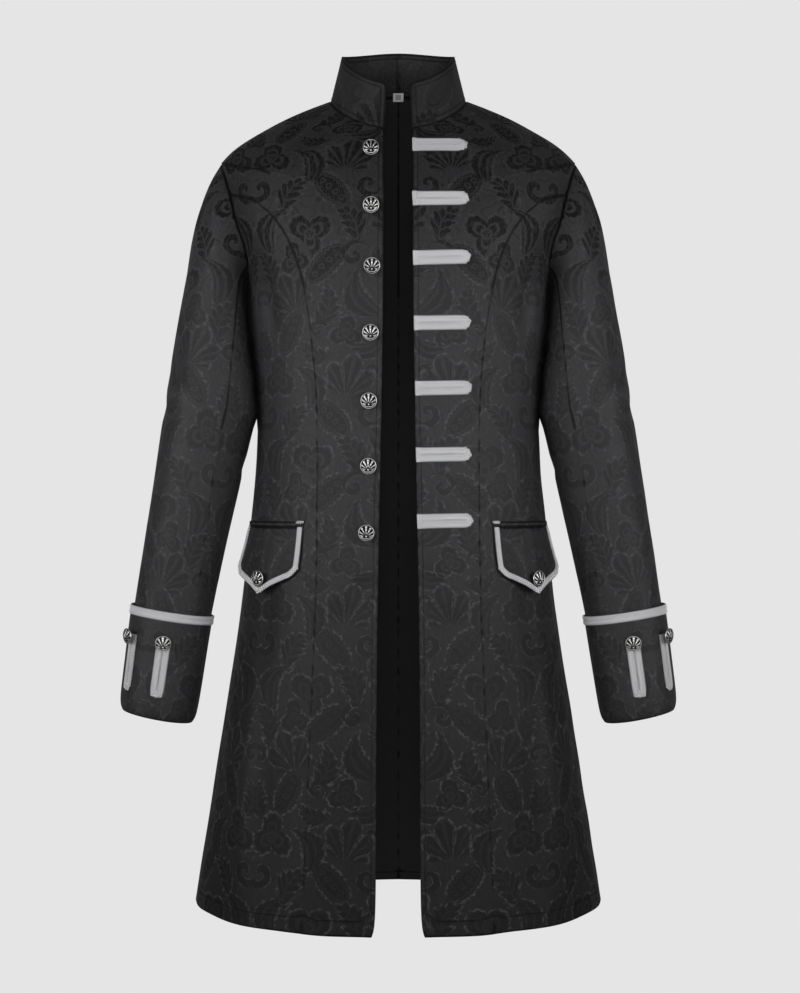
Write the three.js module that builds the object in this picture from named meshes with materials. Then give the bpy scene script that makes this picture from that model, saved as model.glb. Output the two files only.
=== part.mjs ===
// A stand-collar frock coat in black damask, worn open and hollow, with silver braid and metal shank buttons.
// Millimetres, +Z up. The fronts face -Y, and +X is the wearer's left. The origin is between the shoulders,
// level with the neck seam at the side of the neck, where the wearer carries the coat.
import * as THREE from "three";

// Cloth and gaps
const CLOTH = 2;
const COLLAR_CLOTH = 3;
const LINING_CLOTH = 1;
const SEAM_GAP = 0.3;
const SLEEVE_GAP = 0.35;
const LINING_GAP = 0.4;
const COLLAR_LIFT = 0.6;

// Heights, at the side of the body
const HEM = -973;
const ARMPIT = -225;
const SHOULDER_TIP = -76;
const NECK = 0;

// Armhole
const ARMHOLE_STEP = 15;
const ARMHOLE_FORE = 60;
const ARMHOLE_AFT = 66;
const PRINCESS_TOP_ANGLE = 60;
const BACK_PRINCESS_TOP_ANGLE = 90;

// Body sections. side, front and back are a section's heights at the side seam, centre front and centre back.
// half is its half width, fore and aft are its depths, and round is the exponent of its oval.
const BODY_SECTIONS = [
  { side: -973, front: -982.5, back: -980, half: 247.5, fore: 170, aft: 165, round: 2.15 },
  { side: -877, front: -884, back: -882, half: 232, fore: 158, aft: 152, round: 2.02 },
  { side: -730, front: -734, back: -732, half: 209, fore: 142, aft: 134, round: 2.05 },
  { side: -608, front: -610, back: -608, half: 190, fore: 130, aft: 119, round: 2.1 },
  { side: -535, front: -536, back: -534, half: 182.5, fore: 122.5, aft: 107, round: 2.15 },
  { side: -487, front: -488, back: -485, half: 177, fore: 117.5, aft: 97, round: 2.2 },
  { side: -400, front: -401, back: -397, half: 169, fore: 113, aft: 88, round: 2.25 },
  { side: -300, front: -306, back: -299, half: 174.5, fore: 118, aft: 98, round: 2.35 },
  { side: -225, front: -243, back: -228, half: 178, fore: 123, aft: 107, round: 2.5 },
  { side: -203, front: -226, back: -207, half: 183, fore: 124, aft: 109, round: 2.6 },
  { side: -170, front: -202, back: -176, half: 193, fore: 125, aft: 110, round: 2.7 },
  { side: -150, front: -187, back: -158, half: 201.5, fore: 124.5, aft: 110, round: 2.75 },
  { side: -120, front: -164, back: -130, half: 208, fore: 122.5, aft: 109, round: 2.65 },
  { side: -98, front: -146, back: -108, half: 212.5, fore: 120, aft: 106, round: 2.45 },
  { side: -76, front: -126, back: -85, half: 215.5, fore: 117, aft: 103, round: 2.25 },
  { side: -59, front: -110, back: -61, half: 200, fore: 112, aft: 97, round: 2.2 },
  { side: -43, front: -95, back: -41, half: 175, fore: 106, aft: 91, round: 2.15 },
  { side: -21, front: -74, back: -15, half: 136, fore: 95, aft: 80, round: 2.1 },
  { side: -6, front: -57, back: 5, half: 103, fore: 84, aft: 70, round: 2.1 },
  { side: 0, front: -47, back: 17, half: 83, fore: 75, aft: 62, round: 2.1 },
];
const SAG_POWER = 1.2;

// Small steps along a surface that give its normal, and rounds of the search for a place on it
const STEP_ALONG = 1.5;
const STEP_DEGREES = 0.5;
const STEP_CUFF = 0.5;
const STEP_COLLAR = 0.02;
const SEARCH_ROUNDS = 20;

// Soft flutes of the skirt. Each runs from an angle at its top to an angle at the hem, and stands out, or in
// where depth is negative, by depth at the hem. Angles go round from 0 at the centre front to 180 behind.
const FLUTES = [
  { topAngle: 16, hemAngle: 13, spread: 6, depth: -2.5, top: -520 },
  { topAngle: 36, hemAngle: 30, spread: 7, depth: 4, top: -600 },
  { topAngle: 55, hemAngle: 42, spread: 5, depth: -1.5, top: -600 },
  { topAngle: 72, hemAngle: 54, spread: 7, depth: 6, top: -585 },
  { topAngle: 84, hemAngle: 72, spread: 6, depth: -4.5, top: -600 },
  { topAngle: 104, hemAngle: 104, spread: 7, depth: -4, top: -520 },
  { topAngle: 118, hemAngle: 118, spread: 7, depth: 6, top: -450 },
  { topAngle: 133, hemAngle: 134, spread: 7, depth: -5, top: -450 },
  { topAngle: 148, hemAngle: 150, spread: 7, depth: 6, top: -430 },
  { topAngle: 164, hemAngle: 166, spread: 7, depth: -5, top: -430 },
];
const FLUTE_POWER = 1.3;

// Seam lines, as distances from the centre by the height of the section at the side
const FRONT_EDGE = [
  { side: -973, x: 31 },
  { side: -966, x: 26.2 },
  { side: -700, x: 25 },
  { side: -520, x: 22.5 },
  { side: -400, x: 20 },
  { side: -200, x: 17.5 },
  { side: 0, x: 17 },
];
const FRONT_PRINCESS = [
  { side: -973, x: 108.5 },
  { side: -735, x: 100.8 },
  { side: -555, x: 94.9 },
  { side: -405, x: 94.3 },
  { side: -335, x: 96.7 },
  { side: -276, x: 102.6 },
  { side: -222, x: 110.8 },
  { side: -172, x: 124 },
  { side: -134, x: 144 },
  { side: -113, x: 171 },
];
const BACK_PRINCESS = [
  { side: -973, x: 88 },
  { side: -700, x: 80 },
  { side: -400, x: 68 },
  { side: -300, x: 78 },
  { side: -225, x: 98 },
  { side: -185, x: 120 },
  { side: -150, x: 158 },
];

// Rows and columns of the body panels
const SKIRT_ROWS = [-973, -963, -890, -810, -730, -660, -600, -535, -470, -400, -340, -280];
const YOKE_ROWS = [-62, -47, -31, -15, 0];
const FRONT_COLUMNS = 5;
const SIDE_COLUMNS = 6;
const BACK_COLUMNS = 4;

// Sleeve sections, from the armhole to the wrist: their outer and inner ends, their half depth, the place
// of their middle, and the angles of the seams, from 0 at the outer end through 90 in front to 180 inside
const SLEEVE_SECTIONS = [
  { at: 0, outX: 215.5, outZ: -76, inX: 178, inZ: -225, depth: 63, y: 3, fore: 135, aft: 240 },
  { at: 1, outX: 229.5, outZ: -100, inX: 180.6, inZ: -235, depth: 65, y: 1, fore: 134, aft: 241 },
  { at: 2, outX: 241.5, outZ: -135, inX: 180.8, inZ: -251, depth: 66, y: -2, fore: 132, aft: 242 },
  { at: 3, outX: 251, outZ: -182, inX: 179, inZ: -275, depth: 66, y: -6, fore: 128, aft: 243 },
  { at: 4, outX: 262, outZ: -241, inX: 174.3, inZ: -306, depth: 65, y: -12, fore: 122, aft: 244 },
  { at: 5, outX: 273.5, outZ: -313, inX: 170.7, inZ: -352, depth: 63.5, y: -18, fore: 116, aft: 246 },
  { at: 5.5, outX: 279.5, outZ: -352, inX: 170, inZ: -384, depth: 62.5, y: -19, fore: 114, aft: 247 },
  { at: 6, outX: 285, outZ: -389, inX: 178, inZ: -411, depth: 61, y: -18, fore: 113, aft: 248 },
  { at: 7, outX: 300, outZ: -487, inX: 199.3, inZ: -506, depth: 56, y: -16, fore: 117, aft: 250 },
  { at: 8, outX: 317.6, outZ: -600, inX: 225.6, inZ: -617, depth: 49, y: -16, fore: 132, aft: 250 },
  { at: 9, outX: 335, outZ: -726, inX: 246.4, inZ: -744, depth: 46.3, y: -18, fore: 135, aft: 250 },
];
const SLEEVE_ROWS = [0, 0.5, 1, 1.6, 2.3, 3, 4, 5, 5.5, 6, 7, 8, 9];
const SLEEVE_COLUMNS = 24;
const SLEEVE_ROUND = 2.1;
const ARMHOLE_FADE = 1.6;
const FOLD_FADE = 3;

// Turn-back cuffs
const CUFF_SECTIONS = [
  { at: 0, outX: 323, outZ: -610.5, inX: 224.2, inZ: -627, depth: 53.6, y: -16 },
  { at: 121, outX: 337.7, outZ: -729.5, inX: 243.8, inZ: -748.5, depth: 50, y: -18 },
  { at: 130, outX: 333.5, outZ: -738, inX: 249.6, inZ: -755, depth: 46, y: -18 },
];
const CUFF_ROWS = [0, 12, 48, 85, 121, 130];
const CUFF_BRAID_HEIGHT = 10.6;
const CUFF_TABS = [
  { place: "front", angle: 91 },
  { place: "side", angle: 40 },
];
const CUFF_BUTTON_AT = 36;
const CUFF_BUTTON_DROOP = 8;
const CUFF_TAB_START = 34;
const CUFF_TAB_LENGTH = 68;

// Stand collar
const COLLAR_BASE = { side: 0, front: -47, back: 17, half: 83, fore: 75, aft: 62, round: 2.1 };
const COLLAR_TOP = { side: 54, front: 8, back: 69, half: 69.5, fore: 62, aft: 54, round: 2.1 };
const COLLAR_HALF_GAP_BASE = 17;
const COLLAR_HALF_GAP_TOP = 14.6;
const COLLAR_CORNER = 2.5;
const COLLAR_ROWS = [0, 0.35, 0.7, 0.95, 1];
const COLLAR_COLUMNS = 28;

// Pocket flaps, which hang from a narrow welt and stand away from the body below
const FLAP = { fromAngle: 41.5, toAngle: 81, top: -518, halfWidth: 62 };
const FLAP_DEPTHS = [
  { part: 0, depth: 79.5 },
  { part: 0.08, depth: 77 },
  { part: 0.25, depth: 71 },
  { part: 0.45, depth: 66 },
  { part: 0.65, depth: 61.5 },
  { part: 0.82, depth: 58.5 },
  { part: 0.93, depth: 54.5 },
  { part: 1, depth: 49 },
];
const FLAP_TAPER = 7;
const FLAP_STAND_OFF = { frontTop: 0.5, frontHem: 3.5, sideTop: 1.5, sideHem: 19, power: 1.4 };
const FLAP_COLUMNS = 12;
const FLAP_ROWS = 5;
const FLAP_END_STEPS = 3;
const FLAP_BRAID_WIDTH = 6.2;
const FLAP_BRAID_INSET = 0.4;
const FLAP_BUTTON_DEPTH = 61;
const FLAP_BUTTON_DROOP = 6;
const WELT_HEIGHT = 6.4;
const WELT_PROUD = 2.4;
const WELT_GAP = 0.7;
const FLAP_BRAID_GAP = 0.8;

// Braid and front fastenings
const BRAID_GAP = 0.4;
const BRAID_THICK = 1.6;
const BRAID_EDGE_THICK = 0.8;
const TAB_HALF_WIDTH = 8.2;
const TAB_STATIONS = [
  { part: 0, width: 1 },
  { part: 0.02, width: 1 },
  { part: 0.3, width: 1 },
  { part: 0.58, width: 1 },
  { part: 0.84, width: 1 },
  { part: 0.93, width: 0.8 },
  { part: 0.98, width: 0.48 },
  { part: 1, width: 0.2 },
];
const TAB_RIBS = [
  { across: -1, thick: BRAID_EDGE_THICK },
  { across: -0.52, thick: BRAID_THICK },
  { across: 0, thick: BRAID_EDGE_THICK },
  { across: 0.52, thick: BRAID_THICK },
  { across: 1, thick: BRAID_EDGE_THICK },
];
const FRONT_TABS = [
  { x: 17.3, z: -70.5, length: 63, rise: 0 },
  { x: 17.4, z: -136, length: 63.4, rise: 0.5 },
  { x: 17.6, z: -205.8, length: 65.4, rise: 2 },
  { x: 18.8, z: -280.4, length: 64.6, rise: 1.5 },
  { x: 20.1, z: -355.9, length: 64.6, rise: 1.5 },
  { x: 21, z: -433, length: 62.6, rise: 1 },
  { x: 22.4, z: -510.6, length: 63.2, rise: 1 },
];
const FRONT_BUTTONS = [
  { x: 31.8, z: -75, droop: 5 },
  { x: 31, z: -144.6, droop: 8 },
  { x: 29.9, z: -214.8, droop: 12 },
  { x: 31.6, z: -291, droop: 15 },
  { x: 33.4, z: -369.9, droop: 18 },
  { x: 33.9, z: -445.8, droop: 20 },
  { x: 36.1, z: -523.3, droop: 22 },
];

// A domed shank button, from the foot of its shank to the top of its dome
const BUTTON_PROFILE = [
  { radius: 0, height: 0 },
  { radius: 2, height: 0 },
  { radius: 2, height: 3.8 },
  { radius: 8.8, height: 3.9 },
  { radius: 9.75, height: 4.9 },
  { radius: 8.4, height: 6.1 },
  { radius: 4.8, height: 7.7 },
  { radius: 0, height: 8.4 },
];
const BUTTON_SIDES = 12;
const BUTTON_FOOT_GAP = 0.3;

// Woven label at the back of the neck, and the lining of the back
const LABEL = { width: 13, height: 11, thick: 0.8, z: 16.4, y: 57.3 };
const LINING_FIRST_ROW = 1;

const FINISHES = {
  damask: { color: 0x1f1f21, roughness: 0.5, metalness: 0 },
  lining: { color: 0x0f0f10, roughness: 0.6, metalness: 0 },
  braid: { color: 0xcfccd0, roughness: 0.6, metalness: 0.1 },
  metal: { color: 0x6b6a68, roughness: 0.35, metalness: 0.9 },
  label: { color: 0xd8d8d6, roughness: 0.8, metalness: 0 },
};

const coat = new THREE.Group();
const UP = new THREE.Vector3(0, 1, 0);
const ACROSS = new THREE.Vector3(1, 0, 0);
const radians = THREE.MathUtils.degToRad;

// One column of a table at a place between its rows, on a smooth curve that never overshoots a row.
function columnAt(rows, by, column, place) {
  const at = THREE.MathUtils.clamp(place, rows[0][by], rows[rows.length - 1][by]);
  let i = 0;
  while (i < rows.length - 2 && at > rows[i + 1][by]) i += 1;
  const slope = (k) => (rows[k + 1][column] - rows[k][column]) / (rows[k + 1][by] - rows[k][by]);
  const slopeAtRow = (k) => {
    if (k === 0) return slope(0);
    if (k === rows.length - 1) return slope(k - 1);
    const before = slope(k - 1);
    const after = slope(k);
    return before * after <= 0 ? 0 : (2 * before * after) / (before + after);
  };
  const span = rows[i + 1][by] - rows[i][by];
  const t = (at - rows[i][by]) / span;
  const start = rows[i][column] * (1 + 2 * t) * (1 - t) ** 2 + slopeAtRow(i) * span * t * (1 - t) ** 2;
  const end = rows[i + 1][column] * t ** 2 * (3 - 2 * t) - slopeAtRow(i + 1) * span * t ** 2 * (1 - t);
  return start + end;
}

// A whole row of a table at a place between its rows.
function rowAt(rows, by, place) {
  const row = {};
  for (const column of Object.keys(rows[0])) row[column] = columnAt(rows, by, column, place);
  return row;
}

// A row part of the way from one row to another.
function between(from, to, part) {
  const row = {};
  for (const column of Object.keys(from)) row[column] = THREE.MathUtils.lerp(from[column], to[column], part);
  return row;
}

// How far the flutes push the skirt out, by height and angle.
function fluteAt(side, degrees) {
  return FLUTES.reduce((total, flute) => {
    const part = THREE.MathUtils.clamp((flute.top - side) / (flute.top - HEM), 0, 1);
    const middle = THREE.MathUtils.lerp(flute.topAngle, flute.hemAngle, part);
    const shape = Math.exp(-(((degrees - middle) / flute.spread) ** 2));
    return total + flute.depth * shape * part ** FLUTE_POWER;
  }, 0);
}

// A point on an oval section, with its height sagging towards the centre front and back.
function sectionPoint(section, degrees, push = 0) {
  const angle = radians(degrees);
  const behind = Math.cos(angle) < 0;
  const depth = behind ? section.aft : section.fore;
  const across = Math.abs(Math.sin(angle)) / section.half;
  const along = Math.abs(Math.cos(angle)) / depth;
  const reach = (across ** section.round + along ** section.round) ** (-1 / section.round) + push;
  const centre = behind ? section.back : section.front;
  const sag = Math.abs(Math.cos(angle)) ** SAG_POWER * (centre - section.side);
  return new THREE.Vector3(reach * Math.sin(angle), -reach * Math.cos(angle), section.side + sag);
}

function bodyPoint(side, degrees) {
  return sectionPoint(rowAt(BODY_SECTIONS, "side", side), degrees, fluteAt(side, degrees));
}

// A place on a surface: its point, and its normal out of the coat.
function frameOn(surface, u, v, stepU, stepV) {
  const alongU = surface(u + stepU, v).sub(surface(u - stepU, v));
  const alongV = surface(u, v + stepV).sub(surface(u, v - stepV));
  return { point: surface(u, v), normal: alongV.cross(alongU).normalize() };
}

function bodyFrame(side, degrees) {
  const inside = THREE.MathUtils.clamp(side, HEM + STEP_ALONG, NECK - STEP_ALONG);
  const frame = frameOn(bodyPoint, inside, degrees, STEP_ALONG, STEP_DEGREES);
  return { point: bodyPoint(side, degrees), normal: frame.normal };
}

// The angle at which a section is x from the centre, or y from the side.
function angleAtX(section, x, depth) {
  const y = depth * (1 - (x / section.half) ** section.round) ** (1 / section.round);
  return THREE.MathUtils.radToDeg(Math.atan2(x, y));
}

function angleAtY(section, y, depth) {
  const x = section.half * (1 - (y / depth) ** section.round) ** (1 / section.round);
  return THREE.MathUtils.radToDeg(Math.atan2(x, y));
}

// The panels are flat between their rows and columns, and what lies on a panel follows its flats.
function panelFrame(side, degrees) {
  let low = 0;
  while (low < bodyRows.length - 2 && side > bodyRows[low + 1].side) low += 1;
  const columnsOf = degrees > 90 ? backColumns : frontColumns;
  const rowFrame = (index) => {
    const angles = columnsOf(bodyRows[index], index);
    let column = 0;
    while (column < angles.length - 2 && degrees > angles[column + 1]) column += 1;
    const part = (degrees - angles[column]) / (angles[column + 1] - angles[column]);
    const [from, to] = [column, column + 1].map((k) => bodyFrame(bodyRows[index].side, angles[k]));
    return { point: from.point.lerp(to.point, part), normal: from.normal.lerp(to.normal, part) };
  };
  const [below, above] = [rowFrame(low), rowFrame(low + 1)];
  const rise = (side - bodyRows[low].side) / (bodyRows[low + 1].side - bodyRows[low].side);
  const normal = below.normal.lerp(above.normal, rise).normalize();
  return { point: below.point.lerp(above.point, rise), normal };
}

// The height of the section that crosses an angle at a given height.
function sideAt(degrees, z) {
  let side = z;
  for (let step = 0; step < SEARCH_ROUNDS; step += 1) {
    side += z - sectionPoint(rowAt(BODY_SECTIONS, "side", side), degrees).z;
  }
  return side;
}

// The place on the front of the body that is x from the centre at height z.
function frontFrame(x, z) {
  let side = z;
  let degrees = 0;
  for (let step = 0; step < SEARCH_ROUNDS; step += 1) {
    const section = rowAt(BODY_SECTIONS, "side", side);
    degrees = angleAtX(section, x, section.fore);
    side += z - sectionPoint(section, degrees).z;
  }
  return panelFrame(side, degrees);
}

// Armhole: 0 degrees at the shoulder tip, 90 in front, 180 at the armpit and 270 behind.
function armholeSide(degrees) {
  return (SHOULDER_TIP + ARMPIT) / 2 + ((SHOULDER_TIP - ARMPIT) / 2) * Math.cos(radians(degrees));
}

function armholeAngle(degrees) {
  const section = rowAt(BODY_SECTIONS, "side", armholeSide(degrees));
  const part = Math.sin(radians(degrees));
  if (part >= 0) return angleAtY(section, ARMHOLE_FORE * part, section.fore);
  return 180 - angleAtY(section, -ARMHOLE_AFT * part, section.aft);
}

// A wall between two like grids of points, outer and inner. A cell of the grid belongs to the wall where
// owns says so. The wall draws back from each of its edges by half a seam gap, and it is closed all round.
function wall(name, grid, finish, { wraps = false, owns = () => true, drawBack = SEAM_GAP / 2 } = {}) {
  const rowCount = grid.length;
  const columnCount = grid[0].length;
  const cellColumns = wraps ? columnCount : columnCount - 1;
  const owned = (r, c) => {
    if (r < 0 || r >= rowCount - 1) return false;
    if (!wraps && (c < 0 || c >= cellColumns)) return false;
    return owns(r, (c + cellColumns) % cellColumns);
  };
  const indexOf = (r, c) => r * columnCount + (c % columnCount);
  const edges = [];
  const cells = [];
  for (let r = 0; r < rowCount - 1; r += 1) {
    for (let c = 0; c < cellColumns; c += 1) {
      if (!owned(r, c)) continue;
      const corners = [indexOf(r, c), indexOf(r, c + 1), indexOf(r + 1, c + 1), indexOf(r + 1, c)];
      cells.push(corners);
      const beyond = [owned(r - 1, c), owned(r, c + 1), owned(r + 1, c), owned(r, c - 1)];
      beyond.forEach((isOwned, side) => {
        if (!isOwned) edges.push({ from: corners[side], to: corners[(side + 1) % 4], cell: corners });
      });
    }
  }
  const points = grid.flat();
  const shifts = points.map(() => new THREE.Vector3());
  for (const edge of edges) {
    const start = points[edge.from].outer;
    const run = points[edge.to].outer.clone().sub(start).normalize();
    const inward = start.clone().negate();
    edge.cell.forEach((k) => inward.addScaledVector(points[k].outer, 1 / edge.cell.length));
    inward.addScaledVector(run, -inward.dot(run)).normalize();
    shifts[edge.from].add(inward);
    shifts[edge.to].add(inward);
  }
  const numbers = new Map();
  const positions = [];
  const vertex = (k, layer) => {
    const key = layer + k;
    if (!numbers.has(key)) {
      const shift = shifts[k].clone().normalize();
      numbers.set(key, positions.length / 3);
      positions.push(...points[k][layer].clone().addScaledVector(shift, drawBack).toArray());
    }
    return numbers.get(key);
  };
  const triangles = [];
  const quad = (a, b, c, d) => triangles.push(a, b, c, a, c, d);
  for (const [a, b, c, d] of cells) {
    quad(vertex(a, "outer"), vertex(b, "outer"), vertex(c, "outer"), vertex(d, "outer"));
    quad(vertex(a, "inner"), vertex(d, "inner"), vertex(c, "inner"), vertex(b, "inner"));
  }
  for (const { from, to } of edges) {
    quad(vertex(to, "outer"), vertex(from, "outer"), vertex(from, "inner"), vertex(to, "inner"));
  }
  addSolid(name, positions, triangles, finish);
}

// Adds a closed mesh to the coat, with its faces turned outwards.
function addSolid(name, positions, triangles, finish) {
  let sixVolumes = 0;
  const corner = (k) => new THREE.Vector3().fromArray(positions, 3 * k);
  for (let k = 0; k < triangles.length; k += 3) {
    const [a, b, c] = [corner(triangles[k]), corner(triangles[k + 1]), corner(triangles[k + 2])];
    sixVolumes += a.dot(b.cross(c));
  }
  const geometry = new THREE.BufferGeometry();
  geometry.setAttribute("position", new THREE.Float32BufferAttribute(positions, 3));
  geometry.setIndex(sixVolumes > 0 ? triangles : triangles.reverse());
  addMesh(name, geometry, finish);
}

function addMesh(name, geometry, finish) {
  const mesh = new THREE.Mesh(geometry, new THREE.MeshStandardMaterial(FINISHES[finish]));
  mesh.name = name;
  coat.add(mesh);
}

// A grid point between two distances from a surface, mirrored to one side of the coat.
function layered({ point, normal }, outer, inner, hand) {
  const at = (distance) => {
    const p = point.clone().addScaledVector(normal, distance);
    return new THREE.Vector3(hand * p.x, p.y, p.z);
  };
  return { outer: at(outer), inner: at(inner) };
}

// Splits the span between angles into equal steps.
function steps(from, to, count) {
  return Array.from({ length: count }, (unused, k) => THREE.MathUtils.lerp(from, to, k / count));
}

// Heights of the rows of the body panels, from the hem to the neck. Those of the armhole suit its angles.
const armholeRows = Array.from({ length: 180 / ARMHOLE_STEP + 1 }, (unused, k) => ({
  side: armholeSide(180 - k * ARMHOLE_STEP),
  armhole: 180 - k * ARMHOLE_STEP,
}));
const bodyRows = [
  ...SKIRT_ROWS.map((side) => ({ side, armhole: null })),
  ...armholeRows,
  ...YOKE_ROWS.map((side) => ({ side, armhole: null })),
];
const frontPrincessRow = bodyRows.findIndex((row) => row.armhole === PRINCESS_TOP_ANGLE);
const backPrincessRow = bodyRows.findIndex((row) => row.armhole === BACK_PRINCESS_TOP_ANGLE);

// Angles of the front panels' columns at a row: the front edge, the princess seam, then the side seam,
// the armhole or the shoulder seam. Above the princess seam the middle line keeps its share of the way.
function frontAngles(row) {
  const section = rowAt(BODY_SECTIONS, "side", row.side);
  const edge = angleAtX(section, columnAt(FRONT_EDGE, "side", "x", row.side), section.fore);
  const end = row.armhole === null ? 90 : armholeAngle(row.armhole);
  return { section, edge, end };
}

const frontShare = (() => {
  const { section, edge, end } = frontAngles(bodyRows[frontPrincessRow]);
  const x = columnAt(FRONT_PRINCESS, "side", "x", bodyRows[frontPrincessRow].side);
  return (angleAtX(section, x, section.fore) - edge) / (end - edge);
})();

function frontColumns(row, index) {
  const { section, edge, end } = frontAngles(row);
  const x = columnAt(FRONT_PRINCESS, "side", "x", row.side);
  const above = index > frontPrincessRow;
  const princess = above ? edge + frontShare * (end - edge) : angleAtX(section, x, section.fore);
  return [...steps(edge, princess, FRONT_COLUMNS), ...steps(princess, end, SIDE_COLUMNS), end];
}

// The same for the back panels, from the side seam, armhole or shoulder seam to the centre back seam.
function backStart(row) {
  return row.armhole === null ? 90 : armholeAngle(-row.armhole);
}

function backPrincessAngle(row) {
  const section = rowAt(BODY_SECTIONS, "side", row.side);
  return 180 - angleAtX(section, columnAt(BACK_PRINCESS, "side", "x", row.side), section.aft);
}

const backShare = (() => {
  const row = bodyRows[backPrincessRow];
  return (backPrincessAngle(row) - backStart(row)) / (180 - backStart(row));
})();

function backColumns(row, index) {
  const start = backStart(row);
  const above = index > backPrincessRow;
  const princess = above ? start + backShare * (180 - start) : backPrincessAngle(row);
  return [...steps(start, princess, SIDE_COLUMNS), ...steps(princess, 180, BACK_COLUMNS), 180];
}

function bodyGrid(columnsOf, hand, outer, inner) {
  return bodyRows.map((row, index) =>
    columnsOf(row, index).map((degrees) => layered(bodyFrame(row.side, degrees), outer, inner, hand)),
  );
}

function addBodyPanels(hand, suffix) {
  const front = bodyGrid(frontColumns, hand, 0, -CLOTH);
  const back = bodyGrid(backColumns, hand, 0, -CLOTH);
  const ownsSideFront = (r, c) => c >= FRONT_COLUMNS && r < frontPrincessRow;
  const ownsSideBack = (r, c) => c < SIDE_COLUMNS && r < backPrincessRow;
  wall("front_" + suffix, front, "damask", { owns: (r, c) => !ownsSideFront(r, c) });
  wall("side_front_" + suffix, front, "damask", { owns: ownsSideFront });
  wall("back_" + suffix, back, "damask", { owns: (r, c) => !ownsSideBack(r, c) });
  wall("side_back_" + suffix, back, "damask", { owns: ownsSideBack });
}

// The lining inside a back panel, on its rows and columns. It stops short of the hem.
function addBackLining(hand, suffix) {
  const outer = -CLOTH - LINING_GAP;
  const grid = bodyGrid(backColumns, hand, outer, outer - LINING_CLOTH);
  const owns = (r, c) => c >= SIDE_COLUMNS && r >= LINING_FIRST_ROW;
  wall("back_lining_" + suffix, grid, "lining", { owns });
}

// A point on a tube's section: its outer end is at 0 degrees and its front at 90.
function tubePoint(section, degrees) {
  const out = new THREE.Vector3(section.outX, section.y, section.outZ);
  const inner = new THREE.Vector3(section.inX, section.y, section.inZ);
  const angle = radians(degrees);
  const power = 2 / SLEEVE_ROUND;
  const along = Math.sign(Math.cos(angle)) * Math.abs(Math.cos(angle)) ** power;
  const fore = Math.sign(Math.sin(angle)) * Math.abs(Math.sin(angle)) ** power;
  const point = out.clone().add(inner).multiplyScalar(0.5);
  point.addScaledVector(out.sub(inner), along / 2);
  point.y -= fore * section.depth;
  return point;
}

function tubeMiddle(section) {
  return tubePoint(section, 0).add(tubePoint(section, 180)).multiplyScalar(0.5);
}

// The sleeve starts on the armhole's own curve, and eases into its tube.
function sleevePoint(at, degrees) {
  const point = tubePoint(rowAt(SLEEVE_SECTIONS, "at", at), degrees);
  const weight = Math.max(0, 1 - at / ARMHOLE_FADE) ** 2;
  const turned = ((degrees % 360) + 360) % 360;
  const signed = turned > 180 ? turned - 360 : turned;
  const seat = bodyPoint(armholeSide(signed), armholeAngle(signed));
  seat.x += SLEEVE_GAP;
  return point.add(seat.sub(tubePoint(SLEEVE_SECTIONS[0], degrees)).multiplyScalar(weight));
}

// The wall of a sleeve goes towards its middle, and out from the body where the underarm folds.
function sleeveLayer(at, degrees, hand) {
  const section = rowAt(SLEEVE_SECTIONS, "at", at);
  const point = sleevePoint(at, degrees);
  const inward = tubeMiddle(section).sub(point).normalize();
  const fold = Math.max(0, 1 - at / FOLD_FADE) * ((1 - Math.cos(radians(degrees))) / 2);
  const normal = inward.addScaledVector(ACROSS, fold).normalize().negate();
  return layered({ point, normal }, 0, -CLOTH, hand);
}

// Angles of the sleeve's columns, in equal steps from one seam to the other.
function sleeveAngles(fromColumn, toColumn, seams) {
  const count = toColumn - fromColumn;
  return Array.from({ length: count + 1 }, (unused, k) => THREE.MathUtils.lerp(...seams, k / count));
}

function addSleeve(hand, suffix) {
  const turn = 360 / SLEEVE_COLUMNS;
  const foreColumn = SLEEVE_SECTIONS[0].fore / turn;
  const aftColumn = SLEEVE_SECTIONS[0].aft / turn;
  const gridOf = (fromColumn, toColumn, seamsOf) => SLEEVE_ROWS.map((at) => {
    const section = rowAt(SLEEVE_SECTIONS, "at", at);
    const angles = sleeveAngles(fromColumn, toColumn, seamsOf(section));
    return angles.map((degrees) => sleeveLayer(at, degrees, hand));
  });
  const top = gridOf(aftColumn - SLEEVE_COLUMNS, foreColumn, (section) => [section.aft - 360, section.fore]);
  const under = gridOf(foreColumn, aftColumn, (section) => [section.fore, section.aft]);
  wall("sleeve_top_" + suffix, top, "damask");
  wall("sleeve_under_" + suffix, under, "damask");
}

function cuffPoint(at, degrees) {
  const next = at <= CUFF_SECTIONS[1].at ? 1 : 2;
  const [before, after] = [CUFF_SECTIONS[next - 1], CUFF_SECTIONS[next]];
  return tubePoint(between(before, after, (at - before.at) / (after.at - before.at)), degrees);
}

function cuffFrame(at, degrees) {
  return frameOn(cuffPoint, at, degrees, STEP_CUFF, STEP_DEGREES);
}

// A ring of cloth or braid round the cuff, between two distances from its outer face.
function cuffRing(name, rows, outer, inner, hand, finish) {
  const turn = 360 / SLEEVE_COLUMNS;
  const grid = rows.map((at) => Array.from({ length: SLEEVE_COLUMNS }, (unused, k) => {
    return layered(cuffFrame(at, k * turn), outer, inner, hand);
  }));
  wall(name, grid, finish, { wraps: true, drawBack: 0 });
}

// A hairpin tab of braid: two cords side by side with a slit between, and a pointed turn at its end.
// placeOf gives the surface for a distance along the tab and a distance across it.
function addTab(name, placeOf, length, hand) {
  const grid = TAB_STATIONS.map((station) => TAB_RIBS.map((rib) => {
    const place = placeOf(station.part * length, rib.across * station.width * TAB_HALF_WIDTH);
    return layered(place, BRAID_GAP + rib.thick, BRAID_GAP, hand);
  }));
  wall(name, grid, "braid", { drawBack: 0 });
}

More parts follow.
